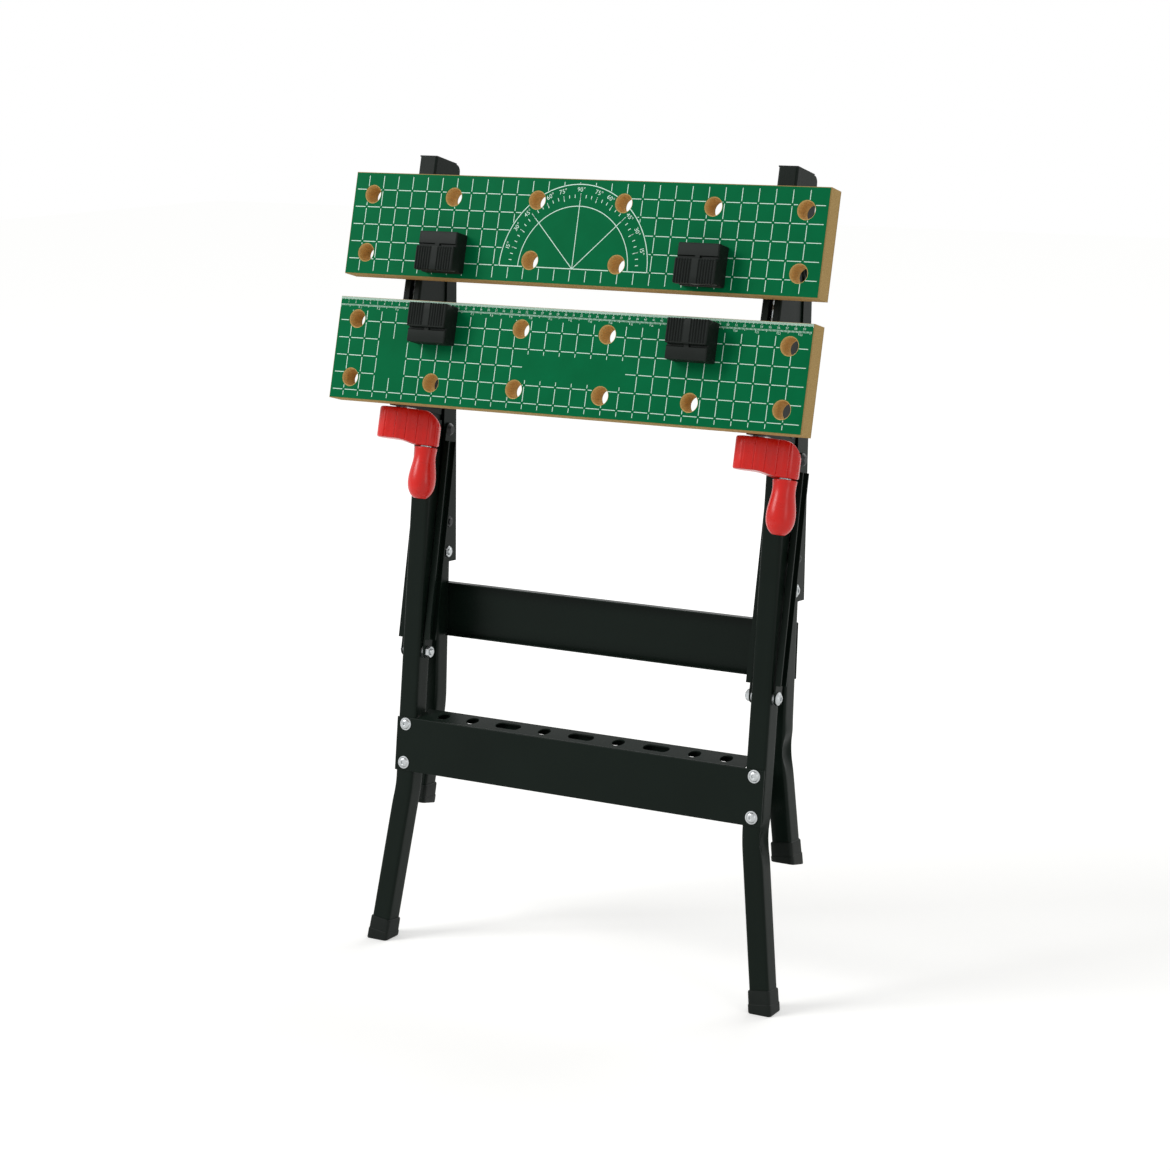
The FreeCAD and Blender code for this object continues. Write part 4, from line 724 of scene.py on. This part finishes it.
# the rear jaw: the grid, left out under the protractor, and the protractor with its angles
BASE_LINE = -100.0
PROTRACTOR = np.array((0.0, BASE_LINE))
OUTER_ARC, INNER_ARC, ANGLE_RING = 94.0, 69.7, 88.4
rear_rows = -GRID * np.arange(1, 6)
rear_print = [
    inked(grid_dashes(columns, rear_rows, (-297, 297, -4, -114)), GRID_LINE, rear_holes,
          bare=lambda x, y: (np.hypot(x, y - BASE_LINE) < 95.2) & (y > BASE_LINE - 0.9)),
    inked(arc(PROTRACTOR, OUTER_ARC, 0, 180, 180), ARC_LINE, rear_holes),
    inked(arc(PROTRACTOR, INNER_ARC, 0, 180, 140), FINE_LINE, rear_holes),
    inked(np.array([(-OUTER_ARC, BASE_LINE, OUTER_ARC, BASE_LINE)]), ARC_LINE, rear_holes),
    inked(spokes(PROTRACTOR, 0.5, 84.0, (45, 90, 135)), GRID_LINE, rear_holes),
    inked(spokes(PROTRACTOR, 79.0, 82.6, range(5, 180, 5)), FINE_LINE, rear_holes),
    inked(spokes(PROTRACTOR, 76.5, 83.0, range(15, 180, 15)), FINE_LINE, rear_holes)]
NUDGES = {45: -2.2, 60: 4.2, 120: -4.2, 135: 2.2}       # degrees, past the spokes and holes
for degrees in range(15, 180, 15):
    shown = "%d°" % min(degrees, 180 - degrees)
    angle = math.radians(degrees + NUDGES.get(degrees, 0))
    rear_print += number(shown, 4.8, ANGLE_RING * math.cos(angle),
                         BASE_LINE + ANGLE_RING * math.sin(angle), degrees - 90)

# the front jaw: a rule in millimetres and sixteenths of an inch, and the grid, left out in
# two oblong places
MM_MARKS, MM_DIGITS, INCH_MARKS, INCH_DIGITS = -144.9, -150.9, -153.2, -157.0
DIGITS = 2.3                            # height of the rule's numbers
front_rows = -171.9 - GRID * np.arange(5)
steps = np.arange(-300, 301)
reach = np.where(steps % 10 == 0, 3.9, np.where(steps % 5 == 0, 3.3, 2.7))
mm_marks = np.stack([steps, np.full(len(steps), MM_MARKS), steps, MM_MARKS - reach], axis=-1)
sixteenths = np.arange(378)
along = -300 + sixteenths * INCH / 16
reach = np.where(sixteenths % 16 == 0, 4.4, np.where(sixteenths % 8 == 0, 3.0, 1.9))
inch_marks = np.stack([along, np.full(len(along), INCH_MARKS), along, INCH_MARKS - reach],
                      axis=-1)
front_print = [
    inked(grid_dashes(columns, front_rows, (-297, 297, -160, -258.5)), GRID_LINE, front_holes,
          bare=lambda x, y: (((np.abs(x - 18) < 66) & (y < -197.5) & (y > -226.0))
                             | ((np.abs(x + 222) < 18.5) & (y < -190) & (y > -236)))),
    inked(mm_marks, RULE_LINE, front_holes), inked(inch_marks, RULE_LINE, front_holes)]
for centimetre in range(1, 60):
    front_print += number(str(centimetre), DIGITS, -300 + 10 * centimetre, MM_DIGITS)
for inch in range(1, 24):
    x = -300 + INCH * inch + 2.6
    if np.hypot(front_holes[:, 0] - x, front_holes[:, 1] - INCH_DIGITS).min() > 13:
        front_print += number(str(inch), DIGITS, x, INCH_DIGITS)

piece("print_rear_jaw", rear_print, "rear_jaw", INK, solid=False)
piece("print_front_jaw", front_print, "top_frame", INK, solid=False)

# -------------------------------------------------------- studio and camera

scene = bpy.context.scene
scene.view_settings.view_transform = "Standard"


def studio_floor():
    """A pale floor that stays white to the camera and to reflections but keeps the shadow: its
    own glow grows from the object outwards, where the lamps no longer reach it."""
    mesh = bpy.data.meshes.new("studio_floor")
    mesh.from_pydata([(-9, -7, 0), (9, -7, 0), (9, 11, 0), (-9, 11, 0)], [], [(0, 1, 2, 3)])
    made = bpy.data.materials.new("studio_floor")
    made.use_nodes = True
    tree = made.node_tree
    tree.nodes.clear()
    rays = add(tree, "ShaderNodeLightPath", {})
    seen = add(tree, "ShaderNodeMath", {0: rays.outputs["Is Camera Ray"],
                                        1: rays.outputs["Is Glossy Ray"]}, operation="MAXIMUM")
    where = add(tree, "ShaderNodeTexCoord", {}).outputs["Object"]
    away = add(tree, "ShaderNodeVectorMath", {0: where}, operation="LENGTH").outputs["Value"]
    inner, outer, low_glow, high_glow = 0.9, 2.6, 0.32, 0.58
    level = add(tree, "ShaderNodeMapRange", {0: away, 1: inner, 2: outer, 3: low_glow,
                                             4: high_glow})
    glow = add(tree, "ShaderNodeMath", {0: seen.outputs[0], 1: level.outputs[0]},
               operation="MULTIPLY")
    plain = add(tree, "ShaderNodeBsdfDiffuse", {"Color": srgb("#e9e9e7")})
    lit = add(tree, "ShaderNodeEmission", {"Color": (1, 1, 1, 1), "Strength": glow.outputs[0]})
    both = add(tree, "ShaderNodeAddShader", {0: plain.outputs[0], 1: lit.outputs[0]})
    add(tree, "ShaderNodeOutputMaterial", {"Surface": both.outputs[0]})
    mesh.materials.append(made)
    floor = bpy.data.objects.new("studio_floor", mesh)
    scene.collection.objects.link(floor)


def white_world(strength):
    """White to the camera and reflections, and a softer even light on everything else."""
    world = bpy.data.worlds.new("studio")
    scene.world = world
    world.use_nodes = True
    tree = world.node_tree
    tree.nodes.clear()
    rays = add(tree, "ShaderNodeLightPath", {})
    seen = add(tree, "ShaderNodeMath", {0: rays.outputs["Is Camera Ray"],
                                        1: rays.outputs["Is Glossy Ray"]}, operation="MAXIMUM")
    seen = add(tree, "ShaderNodeMath", {0: seen.outputs[0],
                                        1: rays.outputs["Is Transmission Ray"]},
               operation="MAXIMUM")
    level = add(tree, "ShaderNodeMapRange", {0: seen.outputs[0], 3: strength, 4: 1.0})
    sky = add(tree, "ShaderNodeBackground", {"Color": (1, 1, 1, 1), "Strength": level.outputs[0]})
    add(tree, "ShaderNodeOutputWorld", {"Surface": sky.outputs[0]})


def soft_box(name, spot, aim, width, height, power):
    """A rectangular lamp at a spot, turned to its aim."""
    lamp = bpy.data.lights.new(name, "AREA")
    lamp.shape = "RECTANGLE"
    lamp.size, lamp.size_y, lamp.energy = width, height, power
    made = bpy.data.objects.new(name, lamp)
    back = np.array(spot, float) - aim
    back /= np.linalg.norm(back)
    made.location = spot
    made.rotation_euler = (math.acos(back[2]), 0, math.atan2(back[0], -back[1]))
    scene.collection.objects.link(made)


studio_floor()
white_world(0.5)
soft_box("key_light", (-2.5, -2.3, 2.9), (0, 0, 0.55), 1.5, 2.0, 85)
soft_box("fill_light", (2.9, -1.2, 1.4), (0, 0, 0.5), 0.8, 1.6, 9)
soft_box("back_light", (0.3, 2.4, 2.3), (0, 0, 0.5), 2.0, 1.2, 26)

camera = bpy.data.cameras.new("camera")
camera.lens = 83.54
camera.sensor_width = 36
holder = bpy.data.objects.new("camera", camera)
holder.location = (1.5116, -2.6219, 1.0729)
holder.rotation_euler = (math.radians(78.34), 0, math.radians(30.02))
scene.collection.objects.link(holder)
scene.camera = holder
